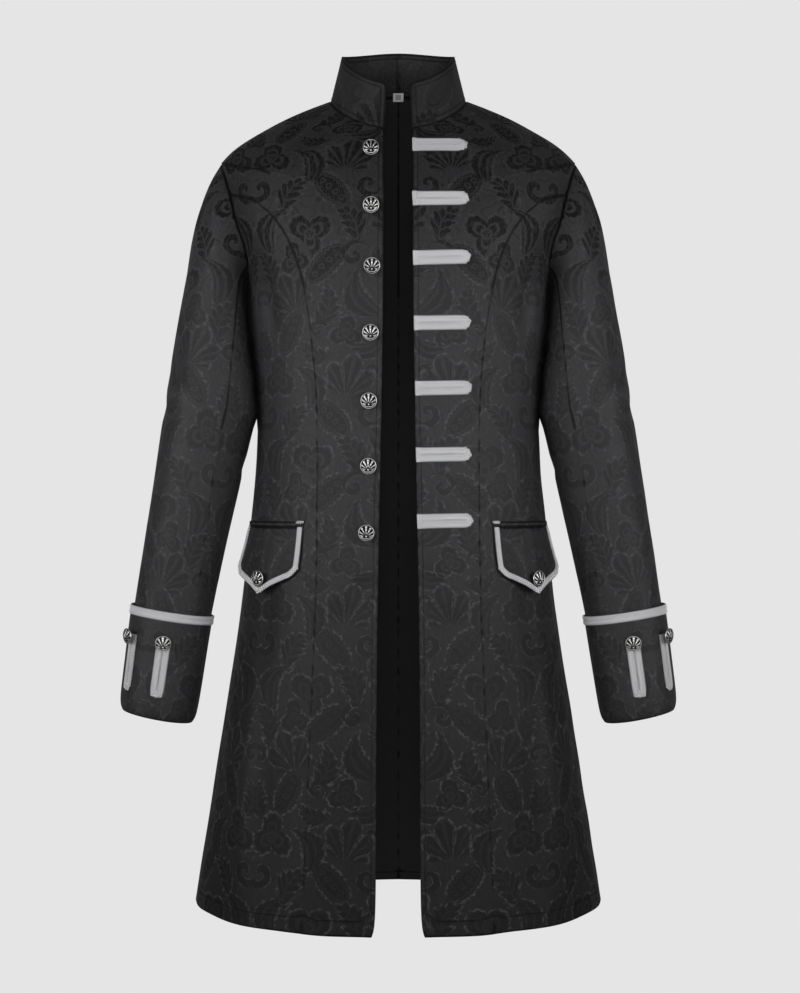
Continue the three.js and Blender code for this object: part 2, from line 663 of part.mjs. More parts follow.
// A shank button standing on a place, its face turned down by droop degrees.
function addButton(name, { point, normal }, droop, hand) {
  const profile = BUTTON_PROFILE.map(({ radius, height }) => new THREE.Vector2(radius, height));
  const geometry = new THREE.LatheGeometry(profile, BUTTON_SIDES);
  const axis = normal.clone();
  const level = new THREE.Vector3(0, 0, 1).cross(axis).normalize();
  axis.applyAxisAngle(level, radians(droop));
  const foot = BUTTON_FOOT_GAP + BUTTON_PROFILE[1].radius * Math.sin(radians(droop));
  const seat = point.clone().addScaledVector(normal, foot);
  const mirrored = (v) => new THREE.Vector3(hand * v.x, v.y, v.z);
  geometry.applyQuaternion(new THREE.Quaternion().setFromUnitVectors(UP, mirrored(axis)));
  geometry.translate(...mirrored(seat).toArray());
  addMesh(name, geometry, "metal");
}

function addCuff(hand, suffix) {
  cuffRing("cuff_" + suffix, CUFF_ROWS, 0, -CLOTH, hand, "damask");
  const bandRows = [0, CUFF_BRAID_HEIGHT / 2, CUFF_BRAID_HEIGHT];
  cuffRing("cuff_braid_" + suffix, bandRows, BRAID_GAP + BRAID_THICK, BRAID_GAP, hand, "braid");
  for (const { place, angle } of CUFF_TABS) {
    const radius = tubePoint(CUFF_SECTIONS[0], angle).distanceTo(tubeMiddle(CUFF_SECTIONS[0]));
    const placeOf = (along, across) => {
      return cuffFrame(CUFF_TAB_START + along, angle + THREE.MathUtils.radToDeg(across / radius));
    };
    const name = place + "_" + suffix;
    addTab("cuff_tab_" + name, placeOf, CUFF_TAB_LENGTH, hand);
    const button = cuffFrame(CUFF_BUTTON_AT, angle);
    button.point.addScaledVector(button.normal, BRAID_GAP + BRAID_THICK);
    addButton("cuff_button_" + name, button, CUFF_BUTTON_DROOP, hand);
  }
}

// The flap's depth at a part of its half width.
function flapDepth(part) {
  return columnAt(FLAP_DEPTHS, "part", "depth", Math.abs(part));
}

// A place on the flap: part runs from -1 at the front end to 1 at the side, and down is a distance.
function flapFrame(part, down) {
  const reach = part * (1 - (FLAP_TAPER / FLAP.halfWidth) * (down / FLAP_DEPTHS[0].depth) ** 2);
  const span = (1 + reach) / 2;
  const degrees = THREE.MathUtils.lerp(FLAP.fromAngle, FLAP.toAngle, span);
  const hang = THREE.MathUtils.clamp(down / FLAP_DEPTHS[0].depth, 0, 1);
  const growth = hang ** FLAP_STAND_OFF.power;
  const front = THREE.MathUtils.lerp(FLAP_STAND_OFF.frontTop, FLAP_STAND_OFF.frontHem, growth);
  const side = THREE.MathUtils.lerp(FLAP_STAND_OFF.sideTop, FLAP_STAND_OFF.sideHem, growth);
  const { point, normal } = panelFrame(sideAt(degrees, FLAP.top - down), degrees);
  return { point: point.addScaledVector(normal, THREE.MathUtils.lerp(front, side, span)), normal };
}

// The edge of the flap from its front top corner, down, round the point and up to its side top corner.
function flapEdge() {
  const parts = FLAP_DEPTHS.slice(1).map(({ part }) => part).reverse();
  const side = steps(0, flapDepth(1), FLAP_END_STEPS).map((down) => ({ part: -1, down }));
  const front = [...side, ...parts.map((part) => ({ part: -part, down: flapDepth(part) }))];
  const back = front.map(({ part, down }) => ({ part: -part, down })).reverse();
  return [...front, { part: 0, down: flapDepth(0) }, ...back];
}

// The same line, moved in from the edge by a distance.
function flapLine(inset) {
  const edge = flapEdge();
  return edge.map(({ part, down }, k) => {
    const before = edge[Math.max(k - 1, 0)];
    const after = edge[Math.min(k + 1, edge.length - 1)];
    const runAcross = (after.part - before.part) * FLAP.halfWidth;
    const runDown = after.down - before.down;
    const length = Math.hypot(runAcross, runDown);
    return {
      part: part + (inset * runDown) / length / FLAP.halfWidth,
      down: down - (inset * runAcross) / length,
    };
  });
}

function addFlap(hand, suffix) {
  const grid = Array.from({ length: FLAP_ROWS + 1 }, (unusedRow, r) => {
    return Array.from({ length: FLAP_COLUMNS + 1 }, (unusedColumn, c) => {
      const part = (2 * c) / FLAP_COLUMNS - 1;
      return layered(flapFrame(part, (flapDepth(part) * r) / FLAP_ROWS), CLOTH, 0, hand);
    });
  });
  wall("flap_" + suffix, grid, "damask", { drawBack: 0 });

  const surface = CLOTH + FLAP_BRAID_GAP;
  const braidLines = [
    { inset: FLAP_BRAID_INSET, thick: BRAID_EDGE_THICK },
    { inset: FLAP_BRAID_WIDTH / 2, thick: BRAID_THICK },
    { inset: FLAP_BRAID_WIDTH, thick: BRAID_EDGE_THICK },
  ];
  const braid = braidLines.map(({ inset, thick }) => flapLine(inset).map(({ part, down }) => {
    return layered(flapFrame(part, Math.max(down, 0)), surface + thick, surface, hand);
  }));
  wall("flap_braid_" + suffix, braid, "braid", { drawBack: 0 });

  const button = flapFrame(0, FLAP_BUTTON_DEPTH);
  button.point.addScaledVector(button.normal, CLOTH);
  addButton("flap_button_" + suffix, button, FLAP_BUTTON_DROOP, hand);

  const weltRows = [SEAM_GAP, SEAM_GAP + WELT_HEIGHT].map((up) => {
    return Array.from({ length: FLAP_COLUMNS + 1 }, (unused, c) => {
      const degrees = THREE.MathUtils.lerp(FLAP.fromAngle, FLAP.toAngle, c / FLAP_COLUMNS);
      const place = panelFrame(sideAt(degrees, FLAP.top + up), degrees);
      return layered(place, WELT_GAP + WELT_PROUD, WELT_GAP, hand);
    });
  });
  wall("flap_welt_" + suffix, weltRows, "damask", { drawBack: 0 });
}

// The collar is one band round the neck, leaning in towards its top, open at the front.
function collarSection(rise) {
  return between(COLLAR_BASE, COLLAR_TOP, rise);
}

function collarPoint(rise, degrees) {
  return sectionPoint(collarSection(rise), degrees);
}

function addCollar() {
  const grid = COLLAR_ROWS.map((rise) => {
    const section = collarSection(rise);
    const corner = rise === 1 ? COLLAR_CORNER : 0;
    const gap = THREE.MathUtils.lerp(COLLAR_HALF_GAP_BASE, COLLAR_HALF_GAP_TOP, rise) + corner;
    const edge = angleAtX(section, gap, section.fore);
    return Array.from({ length: COLLAR_COLUMNS + 1 }, (unused, k) => {
      const degrees = THREE.MathUtils.lerp(edge, 360 - edge, k / COLLAR_COLUMNS);
      const frame = frameOn(collarPoint, rise, degrees, STEP_COLLAR, STEP_DEGREES);
      frame.point.z += COLLAR_LIFT;
      return layered(frame, 0, -COLLAR_CLOTH, 1);
    });
  });
  wall("collar", grid, "damask", { drawBack: 0 });
}

function addLabel() {
  const geometry = new THREE.BoxGeometry(LABEL.width, LABEL.thick, LABEL.height);
  geometry.translate(0, LABEL.y, LABEL.z);
  addMesh("label", geometry, "label");
}

function addFrontTabs() {
  FRONT_TABS.forEach(({ x, z, length, rise }, k) => {
    const lean = radians(rise);
    const placeOf = (along, across) => {
      return frontFrame(
        x + along * Math.cos(lean) - across * Math.sin(lean),
        z + along * Math.sin(lean) + across * Math.cos(lean),
      );
    };
    addTab("front_tab_" + (k + 1), placeOf, length, 1);
  });
}

function addFrontButtons() {
  FRONT_BUTTONS.forEach(({ x, z, droop }, k) => {
    addButton("front_button_" + (k + 1), frontFrame(x, z), droop, -1);
  });
}

for (const [hand, suffix] of [[1, "L"], [-1, "R"]]) {
  addBodyPanels(hand, suffix);
  addSleeve(hand, suffix);
  addCuff(hand, suffix);
  addFlap(hand, suffix);
  addBackLining(hand, suffix);
}
addCollar();
addLabel();
addFrontTabs();
addFrontButtons();

export default coat;
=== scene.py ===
"""The looks of a stand-collar frock coat in black damask, worn open and hollow, with silver braid.

Lengths are in metres in the coat's own frame: +Z up, +X to the wearer's left, -Y out of the open front.
"""
import logging
import math
from collections.abc import Callable, Iterable, Sequence
from dataclasses import dataclass, field, replace
from enum import Enum

import bmesh
import bpy
import numpy as np
from mathutils import Matrix, Vector
from mathutils.bvhtree import BVHTree
from mathutils.kdtree import KDTree


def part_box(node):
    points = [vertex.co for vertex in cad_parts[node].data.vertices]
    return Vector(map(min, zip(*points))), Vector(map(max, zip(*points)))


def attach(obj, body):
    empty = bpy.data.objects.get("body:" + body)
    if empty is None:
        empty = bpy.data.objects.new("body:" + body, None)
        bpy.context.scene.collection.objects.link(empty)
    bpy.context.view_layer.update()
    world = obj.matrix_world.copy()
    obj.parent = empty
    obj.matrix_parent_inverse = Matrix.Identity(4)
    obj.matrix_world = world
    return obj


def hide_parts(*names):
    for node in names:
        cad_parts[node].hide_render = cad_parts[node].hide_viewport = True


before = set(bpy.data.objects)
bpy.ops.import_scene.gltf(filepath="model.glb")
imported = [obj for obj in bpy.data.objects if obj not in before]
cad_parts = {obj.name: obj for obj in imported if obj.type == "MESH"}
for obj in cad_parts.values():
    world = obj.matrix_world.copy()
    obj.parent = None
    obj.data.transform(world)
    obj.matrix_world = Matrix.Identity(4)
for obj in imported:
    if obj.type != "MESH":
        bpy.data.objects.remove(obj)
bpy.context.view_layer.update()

LOG = logging.getLogger("coat")
MM = 0.001
UV_NAME = "pattern"
EDGE_NAME = "from_edge"
TOP_NAME = "from_top"
HEM_NAME = "from_hem"
TOP_INSET = 5.6 * MM
HEM_INSET = 17 * MM
HEM_TOP = -0.965
FOLD_NAME = "fold"
RAISED_NAME = "raised"
WELD = MM / 1000
TRIM_WELD = MM / 200
BODY = "root"

Array = np.ndarray
Socket = bpy.types.NodeSocket
Node = bpy.types.Node
Tree = bpy.types.NodeTree
Material = bpy.types.Material
Mesh = bpy.types.Mesh
Piece = bpy.types.Object
Shell = bmesh.types.BMesh
Value = float | Socket
Masks = tuple[Socket, Socket]
Place = tuple[Vector, Vector]
Colour = tuple[float, float, float]
Span = tuple[float, float]


class Hand(Enum):
    """The wearer's left or right, as the sign of X."""

    LEFT = 1
    RIGHT = -1

    @property
    def suffix(self) -> str:
        """The letter that ends the names of this hand's pieces."""
        return "L" if self is Hand.LEFT else "R"


class Slot(Enum):
    """Names of the material slots."""

    DAMASK = "damask"
    LINING = "lining"
    BRAID = "braid"
    METAL = "metal"
    LABEL = "label"


class Anchor(Enum):
    """The line that distances round the body are measured from."""

    CENTRE_FRONT = "front"
    CENTRE_BACK = "back"


class Graph:
    """Adds nodes to a node tree and links them."""

    MIX_START, MIX_END, MIX_RESULT = 6, 7, 2

    def __init__(self, tree: Tree) -> None:
        """Keeps the tree of the material or group that the nodes go into."""
        self.tree = tree

    def node(self, kind: str, **settings: object) -> Node:
        """Adds a node.

        Args:
            kind: The node's type name.
            **settings: Values of the node's own properties.

        Returns:
            The new node.
        """
        made = self.tree.nodes.new(kind)
        for name, value in settings.items():
            setattr(made, name, value)
        return made

    def feed(self, target: Socket, value: object) -> None:
        """Links a socket to an input, or sets the input to a value.

        Args:
            target: The input socket.
            value: A socket, a number or a tuple of numbers.
        """
        if isinstance(value, Socket):
            self.tree.links.new(value, target)
        else:
            target.default_value = value

    def math(self, operation: str, *values: Value, clamp: bool = False) -> Socket:
        """Adds a Math node.

        Args:
            operation: The node's operation.
            *values: Its inputs, sockets or numbers.
            clamp: Whether the result is kept from 0 to 1.

        Returns:
            The result's socket.
        """
        made = self.node("ShaderNodeMath", operation=operation, use_clamp=clamp)
        for target, value in zip(made.inputs, values):
            self.feed(target, value)
        return made.outputs[0]

    def plus(self, one: Value, other: Value) -> Socket:
        """The sum of two values."""
        return self.math("ADD", one, other)

    def minus(self, one: Value, other: Value, clamp: bool = False) -> Socket:
        """One value less another."""
        return self.math("SUBTRACT", one, other, clamp=clamp)

    def times(self, one: Value, other: Value, clamp: bool = False) -> Socket:
        """The product of two values."""
        return self.math("MULTIPLY", one, other, clamp=clamp)

    def times_plus(self, one: Value, other: Value, extra: Value, clamp: bool = False) -> Socket:
        """The product of two values, plus a third."""
        return self.math("MULTIPLY_ADD", one, other, extra, clamp=clamp)

    def larger(self, one: Value, other: Value) -> Socket:
        """The larger of two values."""
        return self.math("MAXIMUM", one, other)

    def absolute(self, value: Value) -> Socket:
        """A value without its sign."""
        return self.math("ABSOLUTE", value)

    def attribute(self, name: str) -> Socket:
        """A number that the mesh carries."""
        return self.node("ShaderNodeAttribute", attribute_name=name).outputs["Fac"]

    def uv_map(self) -> Socket:
        """The piece's UV map."""
        return self.node("ShaderNodeUVMap", uv_map=UV_NAME).outputs["UV"]

    def object_place(self) -> Socket:
        """The point's place in the piece's own frame."""
        return self.node("ShaderNodeTexCoord").outputs["Object"]

    def bump(self, shader: Node, height: Socket, strength: float, reach: float) -> None:
        """Gives a shader a Bump node.

        Args:
            shader: The shader.
            height: The surface's height, from 0 to about 1.
            strength: How strongly it shows.
            reach: What a height of 1 stands for, in metres.
        """
        made = self.node("ShaderNodeBump")
        made.inputs["Strength"].default_value = strength
        made.inputs["Distance"].default_value = reach
        self.feed(made.inputs["Height"], height)
        self.feed(shader.inputs["Normal"], made.outputs["Normal"])

    def vector(self, operation: str, *values: object) -> Socket:
        """Adds a Vector Math node.

        Args:
            operation: The node's operation.
            *values: Its inputs, sockets or tuples.

        Returns:
            The resulting vector's socket.
        """
        made = self.node("ShaderNodeVectorMath", operation=operation)
        for target, value in zip(made.inputs, values):
            self.feed(target, value)
        return made.outputs["Vector"]

    def step(self, value: Value, low: Value, high: Value) -> Socket:
        """A soft step.

        Args:
            value: What is compared.
            low: The value where the step is 0.
            high: The value where the step is 1.

        Returns:
            The step's socket.
        """
        made = self.node("ShaderNodeMapRange", interpolation_type="SMOOTHSTEP")
        self.feed(made.inputs["Value"], value)
        self.feed(made.inputs["From Min"], low)
        self.feed(made.inputs["From Max"], high)
        return made.outputs["Result"]

    def length(self, x: Value, y: Value) -> Socket:
        """The length of a vector from its X and Y."""
        return self.math("SQRT", self.math("MULTIPLY_ADD", x, x, self.math("MULTIPLY", y, y)))

    def split(self, vector: Socket) -> tuple[Socket, Socket]:
        """The X and Y of a vector."""
        made = self.node("ShaderNodeSeparateXYZ")
        self.feed(made.inputs[0], vector)
        return made.outputs["X"], made.outputs["Y"]

    def join(self, x: Value, y: Value) -> Socket:
        """A vector from its X and Y."""
        made = self.node("ShaderNodeCombineXYZ")
        self.feed(made.inputs["X"], x)
        self.feed(made.inputs["Y"], y)
        return made.outputs[0]

    def blend(self, share: Value, start: object, end: object) -> Socket:
        """Mixes two colours.

        Args:
            share: How much of the end colour shows.
            start: The colour at 0.
            end: The colour at 1.

        Returns:
            The mixed colour's socket.
        """
        made = self.node("ShaderNodeMix", data_type="RGBA")
        self.feed(made.inputs["Factor"], share)
        self.feed(made.inputs[self.MIX_START], start)
        self.feed(made.inputs[self.MIX_END], end)
        return made.outputs[self.MIX_RESULT]

    def noise(self, vector: Socket, scale: float, detail: float = 2.0) -> Socket:
        """Adds a Noise Texture.

        Args:
            vector: Its coordinates.
            scale: Its scale.
            detail: Its octaves.

        Returns:
            The noise's value, about 0.5 on average.
        """
        made = self.node("ShaderNodeTexNoise")
        self.feed(made.inputs["Vector"], vector)
        made.inputs["Scale"].default_value = scale
        made.inputs["Detail"].default_value = detail
        return made.outputs[0]


def node_group(
    name: str,
    inputs: dict[str, tuple[str, object]],
    outputs: dict[str, str],
    build: Callable[[Graph, Node], dict[str, Socket]],
) -> Tree:
    """Makes a shader node group.

    Args:
        name: The group's name.
        inputs: Each input's socket type and default value, by name.
        outputs: Each output's socket type, by name.
        build: Adds the group's nodes, and returns the socket for each output.

    Returns:
        The group.
    """
    tree = bpy.data.node_groups.new(name, "ShaderNodeTree")
    for title, (kind, default) in inputs.items():
        made = tree.interface.new_socket(title, in_out="INPUT", socket_type=kind)
        if default is not None:
            made.default_value = default
    for title, kind in outputs.items():
        tree.interface.new_socket(title, in_out="OUTPUT", socket_type=kind)
    graph = Graph(tree)
    entry = graph.node("NodeGroupInput")
    leave = graph.node("NodeGroupOutput")
    for title, socket in build(graph, entry).items():
        graph.feed(leave.inputs[title], socket)
    return tree


@dataclass(frozen=True)
class Motif:
    """One place of a woven motif in the repeat: its middle, its half length and its turn in degrees."""

    across: float
    up: float
    reach: float
    turn: float
    flip: int = 1


@dataclass(frozen=True)
class DamaskPattern:
    """A traditional repeat of feather leaves, seed pods, paisleys, trefoils, palmettes and scrolls.

    The repeat is mirrored about its own middle and about its sides.
    """

    width: float = 0.35
    height: float = 0.268
    margin: float = 1.08
    far: float = 9.0
    ragged: float = 0.0042
    unevenness: float = 150.0
    vein_scale: float = 38.0
    vein_bands: float = 7.0
    join_margin: float = 0.006
    leaves: tuple[Motif, ...] = (
        Motif(0.056, 0.018, 0.028, 62),
        Motif(0.122, 0.056, 0.029, 128, -1),
        Motif(0.010, 0.104, 0.025, 98),
        Motif(0.168, 0.148, 0.024, 82, -1),
        Motif(0.086, 0.190, 0.028, 106),
        Motif(0.016, 0.236, 0.026, 58, -1),
        Motif(0.162, 0.238, 0.027, 68),
        Motif(0.098, 0.138, 0.022, 22, -1),
    )
    pods: tuple[Motif, ...] = (
        Motif(0.076, 0.060, 0.028, 48),
        Motif(0.130, 0.160, 0.028, 118),
        Motif(0.084, 0.240, 0.029, 140),
        Motif(0.006, 0.176, 0.022, 90),
    )
    paisleys: tuple[Motif, ...] = (
        Motif(0.150, 0.018, 0.029, 118, -1),
        Motif(0.104, 0.100, 0.028, 64),
        Motif(0.044, 0.202, 0.030, 70, -1),
        Motif(0.032, 0.142, 0.021, 150),
    )
    trefoils: tuple[Motif, ...] = (
        Motif(0.102, 0.008, 0.029, 30),
        Motif(0.150, 0.108, 0.028, 90),
        Motif(0.122, 0.246, 0.021, 200),
        Motif(0.060, 0.158, 0.021, -20),
    )
    palmettes: tuple[Motif, ...] = (
        Motif(0.000, 0.030, 0.040, 0),
        Motif(0.056, 0.104, 0.033, 14),
        Motif(0.130, 0.204, 0.033, -24),
    )
    scrolls: tuple[Motif, ...] = (
        Motif(0.034, 0.064, 0.017, 20),
        Motif(0.164, 0.066, 0.020, 200, -1),
        Motif(0.170, 0.200, 0.017, 120),
        Motif(0.050, 0.248, 0.017, 300, -1),
        Motif(0.028, 0.112, 0.012, 80),
        Motif(0.094, 0.164, 0.014, 10, -1),
    )

    def build(self, graph: Graph, entry: Node) -> dict[str, Socket]:
        """Adds the repeat's nodes.

        Args:
            graph: The group's graph.
            entry: The group's input node, with the coordinates as Vector.

        Returns:
            The sockets of the Fill and Line masks.
        """
        x, y = graph.split(entry.outputs["Vector"])
        column = graph.math("ROUND", graph.math("DIVIDE", x, self.width))
        across = graph.absolute(graph.times_plus(column, -self.width, x))
        up = graph.math("FLOORED_MODULO", y, self.height)
        tile = graph.join(across, up)
        uneven = graph.node("ShaderNodeTexNoise")
        graph.feed(uneven.inputs["Vector"], tile)
        uneven.inputs["Scale"].default_value = self.unevenness
        uneven.inputs["Detail"].default_value = 1.0
        shift_x, shift_y = graph.split(uneven.outputs["Color"])
        veins = graph.noise(tile, self.vein_scale, 0.0)
        across = graph.times_plus(graph.minus(shift_x, 0.5), self.ragged, across)
        up = graph.times_plus(graph.minus(shift_y, 0.5), self.ragged, up)
        kinds = (
            (self.leaves, self.leaf),
            (self.pods, self.pod),
            (self.paisleys, self.paisley),
            (self.trefoils, self.trefoil),
            (self.palmettes, self.palmette),
            (self.scrolls, self.scroll),
        )
        fill: Value = 0.0
        line: Value = 0.0
        for motifs, draw in kinds:
            body, mark = draw(graph, *self.local(graph, across, up, motifs))
            fill = graph.larger(fill, body)
            line = graph.larger(line, mark)
        bands = graph.math("FRACT", graph.times(veins, self.vein_bands))
        contour = graph.absolute(graph.minus(bands, 0.5))
        foot = graph.step(up, 0.0, self.join_margin)
        inner = graph.times(foot, graph.step(up, self.height, self.height - self.join_margin))
        tendril = graph.times(graph.step(contour, 0.1, 0.05), inner)
        free = graph.minus(1.0, graph.larger(fill, line), clamp=True)
        fill = graph.larger(fill, graph.times(graph.times(tendril, free), 0.5))
        return {"Fill": fill, "Line": line}

    def local(
        self, graph: Graph, across: Socket, up: Socket, motifs: Sequence[Motif]
    ) -> tuple[Socket, Socket]:
        """Coordinates within the motif that covers a point, or far away where none does.

        Args:
            graph: The group's graph.
            across: The point's place across the repeat.
            up: Its place up the repeat.
            motifs: The places of one kind of motif.

        Returns:
            The local X and Y, with the motif from -1 to 1.
        """
        chosen_x: Value = self.far
        chosen_y: Value = self.far
        for motif in motifs:
            for wrap in (-1, 0, 1):
                rise = motif.up + wrap * self.height
                edge = motif.reach * self.margin
                if not -edge < rise < self.height + edge:
                    continue
                turn = math.radians(motif.turn)
                sine, cosine = math.sin(turn), math.cos(turn)
                size = 1 / motif.reach
                flipped = size * motif.flip
                x0 = -(motif.across * cosine + rise * sine) * size
                y0 = (motif.across * sine - rise * cosine) * flipped
                x = graph.times_plus(up, sine * size, graph.times_plus(across, cosine * size, x0))
                y = graph.times_plus(up, cosine * flipped, graph.times_plus(across, -sine * flipped, y0))
                square = graph.times_plus(x, x, graph.times(y, y))
                inside = graph.math("LESS_THAN", square, self.margin**2)
                chosen_x = graph.times_plus(graph.minus(x, chosen_x), inside, chosen_x)
                chosen_y = graph.times_plus(graph.minus(y, chosen_y), inside, chosen_y)
        return chosen_x, chosen_y

    def span(self, graph: Graph, x: Socket) -> Socket:
        """How open a motif is along its length: 1 in its middle and 0 at its ends."""
        return graph.larger(graph.minus(1.0, graph.times(x, x)), 0.0)

    def edge(self, graph: Graph, depth: Socket, open_span: Value, near: float = 0.07) -> Socket:
        """A thin line just outside a motif's edge, where the motif is open."""
        ring = graph.step(graph.absolute(graph.plus(depth, near)), near, 0.01)
        return graph.times(ring, graph.step(open_span, 0.02, 0.15))

    def leaf(self, graph: Graph, x: Socket, y: Socket) -> Masks:
        """A curved leaf of slanting strokes on both sides of its rib.

        Args:
            graph: The group's graph.
            x: The point's X within the motif.
            y: Its Y.

        Returns:
            The fill and line masks.
        """
        open_span = self.span(graph, x)
        off = graph.absolute(graph.times_plus(open_span, -0.42, graph.plus(y, 0.22)))
        phase = graph.times_plus(x, 17.0, graph.times(off, -15.0))
        wave = graph.math("SINE", phase)
        lobed = graph.times_plus(wave, 0.1, graph.times_plus(x, -0.14, 0.42))
        depth = graph.minus(graph.times(open_span, lobed), off)
        strokes = graph.times(graph.step(wave, -0.9, -0.5), graph.step(off, 0.01, 0.05))
        fill = graph.times(graph.step(depth, 0.0, 0.06), strokes)
        return fill, self.edge(graph, depth, open_span)

    def pod(self, graph: Graph, x: Socket, y: Socket) -> Masks:
        """An oval pod with a row of curled seeds and a toothed rim.

        Args:
            graph: The group's graph.
            x: The point's X within the motif.
            y: Its Y.

        Returns:
            The fill and line masks.
        """
        open_span = self.span(graph, x)
        teeth = graph.absolute(graph.math("SINE", graph.times(x, 15.0)))
        half = graph.times(graph.math("SQRT", open_span), graph.times_plus(teeth, 0.07, 0.44))
        depth = graph.minus(half, graph.absolute(y))
        shell = graph.step(depth, 0.0, 0.06)
        seed_x = graph.minus(graph.math("FRACT", graph.times(x, 2.6)), 0.5)
        slant = graph.times_plus(seed_x, 1.5, graph.times(y, 2.6))
        across = graph.times_plus(seed_x, 0.9, graph.times(y, -2.1))
        radius = graph.length(slant, graph.times(across, 1.6))
        curled = graph.step(graph.absolute(graph.minus(radius, 0.46)), 0.19, 0.09)
        seeds = graph.times(curled, graph.step(depth, 0.1, 0.16))
        rim = graph.step(graph.absolute(graph.minus(depth, 0.12)), 0.05, 0.02)
        fill = graph.times(shell, graph.minus(1.0, graph.larger(seeds, rim)))
        return fill, self.edge(graph, depth, open_span)

    def paisley(self, graph: Graph, x: Socket, y: Socket) -> Masks:
        """A curled teardrop with stripes along it and a toothed back.

        Args:
            graph: The group's graph.
            x: The point's X within the motif.
            y: Its Y.

        Returns:
            The fill and line masks.
        """
        open_span = self.span(graph, x)
        curl = graph.times_plus(graph.times(x, x), 0.55, graph.minus(y, 0.22))
        teeth = graph.absolute(graph.math("SINE", graph.times(x, 13.0)))
        base = graph.times_plus(teeth, 0.07, graph.times_plus(x, -0.3, 0.37))
        half = graph.times(graph.math("SQRT", open_span), base)
        depth = graph.minus(half, graph.absolute(curl))
        level = graph.math("DIVIDE", curl, graph.plus(half, 0.12))
        stripe = graph.math("SINE", graph.times(level, 10.0))
        stripes = graph.times(graph.step(stripe, 0.2, 0.7), graph.step(depth, 0.06, 0.12))
        fill = graph.times(graph.step(depth, 0.0, 0.06), graph.minus(1.0, stripes))
        return fill, self.edge(graph, depth, open_span)

    def trefoil(self, graph: Graph, x: Socket, y: Socket) -> Masks:
        """A flower of three scrolled lobes.

        Args:
            graph: The group's graph.
            x: The point's X within the motif.
            y: Its Y.

        Returns:
            The fill and line masks.
        """
        radius = graph.length(x, y)
        angle = graph.math("ARCTAN2", y, x)
        lobes = graph.absolute(graph.math("COSINE", graph.times(angle, 1.5)))
        frill = graph.absolute(graph.math("SINE", graph.times(angle, 9.0)))
        rim = graph.times_plus(lobes, 0.5, graph.times_plus(frill, 0.07, 0.4))
        depth = graph.minus(rim, radius)
        spiral = graph.math("SINE", graph.times_plus(radius, 14.0, graph.times(lobes, -6.0)))
        curls = graph.step(spiral, 0.2, 0.75)
        heart = graph.step(graph.absolute(graph.minus(radius, 0.2)), 0.08, 0.02)
        open_lines = graph.minus(1.0, graph.larger(curls, heart))
        fill = graph.times(graph.step(depth, 0.0, 0.07), open_lines)
        return fill, self.edge(graph, depth, graph.step(radius, 1.1, 1.0))

    def palmette(self, graph: Graph, x: Socket, y: Socket) -> Masks:
        """A fan of curved petals that spring from one foot.

        Args:
            graph: The group's graph.
            x: The point's X within the motif.
            y: Its Y.

        Returns:
            The fill and line masks.
        """
        raised = graph.plus(y, 0.72)
        radius = graph.length(x, raised)
        angle = graph.math("ARCTAN2", x, graph.larger(raised, 0.001))
        curled = graph.times(angle, graph.times_plus(radius, -0.75, 5.6))
        petals = graph.absolute(graph.math("COSINE", curled))
        spread = graph.math("COSINE", graph.times(angle, 0.85))
        rim = graph.times(graph.times_plus(petals, 0.4, 1.15), spread)
        depth = graph.minus(rim, radius)
        ahead = graph.step(graph.absolute(angle), 1.4, 1.25)
        within = graph.times(ahead, graph.step(raised, 0.05, 0.2))
        shell = graph.times(graph.step(depth, 0.0, 0.08), within)
        petal = graph.times(graph.step(petals, 0.25, 0.5), graph.step(petals, 0.985, 0.95))
        fill = graph.times(graph.times(shell, petal), graph.step(radius, 0.15, 0.3))
        beside = graph.step(graph.absolute(graph.minus(petals, 0.22)), 0.12, 0.03)
        side = graph.times(beside, shell)
        line = graph.larger(side, self.edge(graph, depth, 1.0))
        return fill, graph.times(line, within)

    def scroll(self, graph: Graph, x: Socket, y: Socket) -> Masks:
        """A volute that winds in to its eye.

        Args:
            graph: The group's graph.
            x: The point's X within the motif.
            y: Its Y.

        Returns:
            The fill and line masks.
        """
        radius = graph.length(x, y)
        angle = graph.math("ARCTAN2", y, x)
        wind = graph.math("COSINE", graph.times_plus(graph.math("SQRT", radius), 9.0, angle))
        depth = graph.minus(wind, graph.times_plus(radius, 0.9, -0.35))
        within = graph.step(radius, 1.0, 0.9)
        fill = graph.times(graph.step(depth, 0.0, 0.3), within)
        beside = graph.step(graph.absolute(graph.plus(depth, 0.25)), 0.25, 0.05)
        return fill, graph.times(beside, within)


def weave_nodes(graph: Graph, entry: Node) -> dict[str, Socket]:
    """The fine slanting floats of a satin weave.

    Args:
        graph: The group's graph.
        entry: The group's input node, with Vector and Pitch.

    Returns:
        The socket of the weave's height.
    """
    x, y = graph.split(entry.outputs["Vector"])
    turns = graph.math("DIVIDE", 2 * math.pi, entry.outputs["Pitch"])
    along = graph.math("SINE", graph.times(graph.times_plus(y, 2.0, x), turns))
    slant = graph.times_plus(x, 0.5, graph.times(y, -1.0))
    across = graph.math("SINE", graph.times(slant, turns))
    return {"Height": graph.times_plus(graph.times(along, across), 0.5, 0.5)}


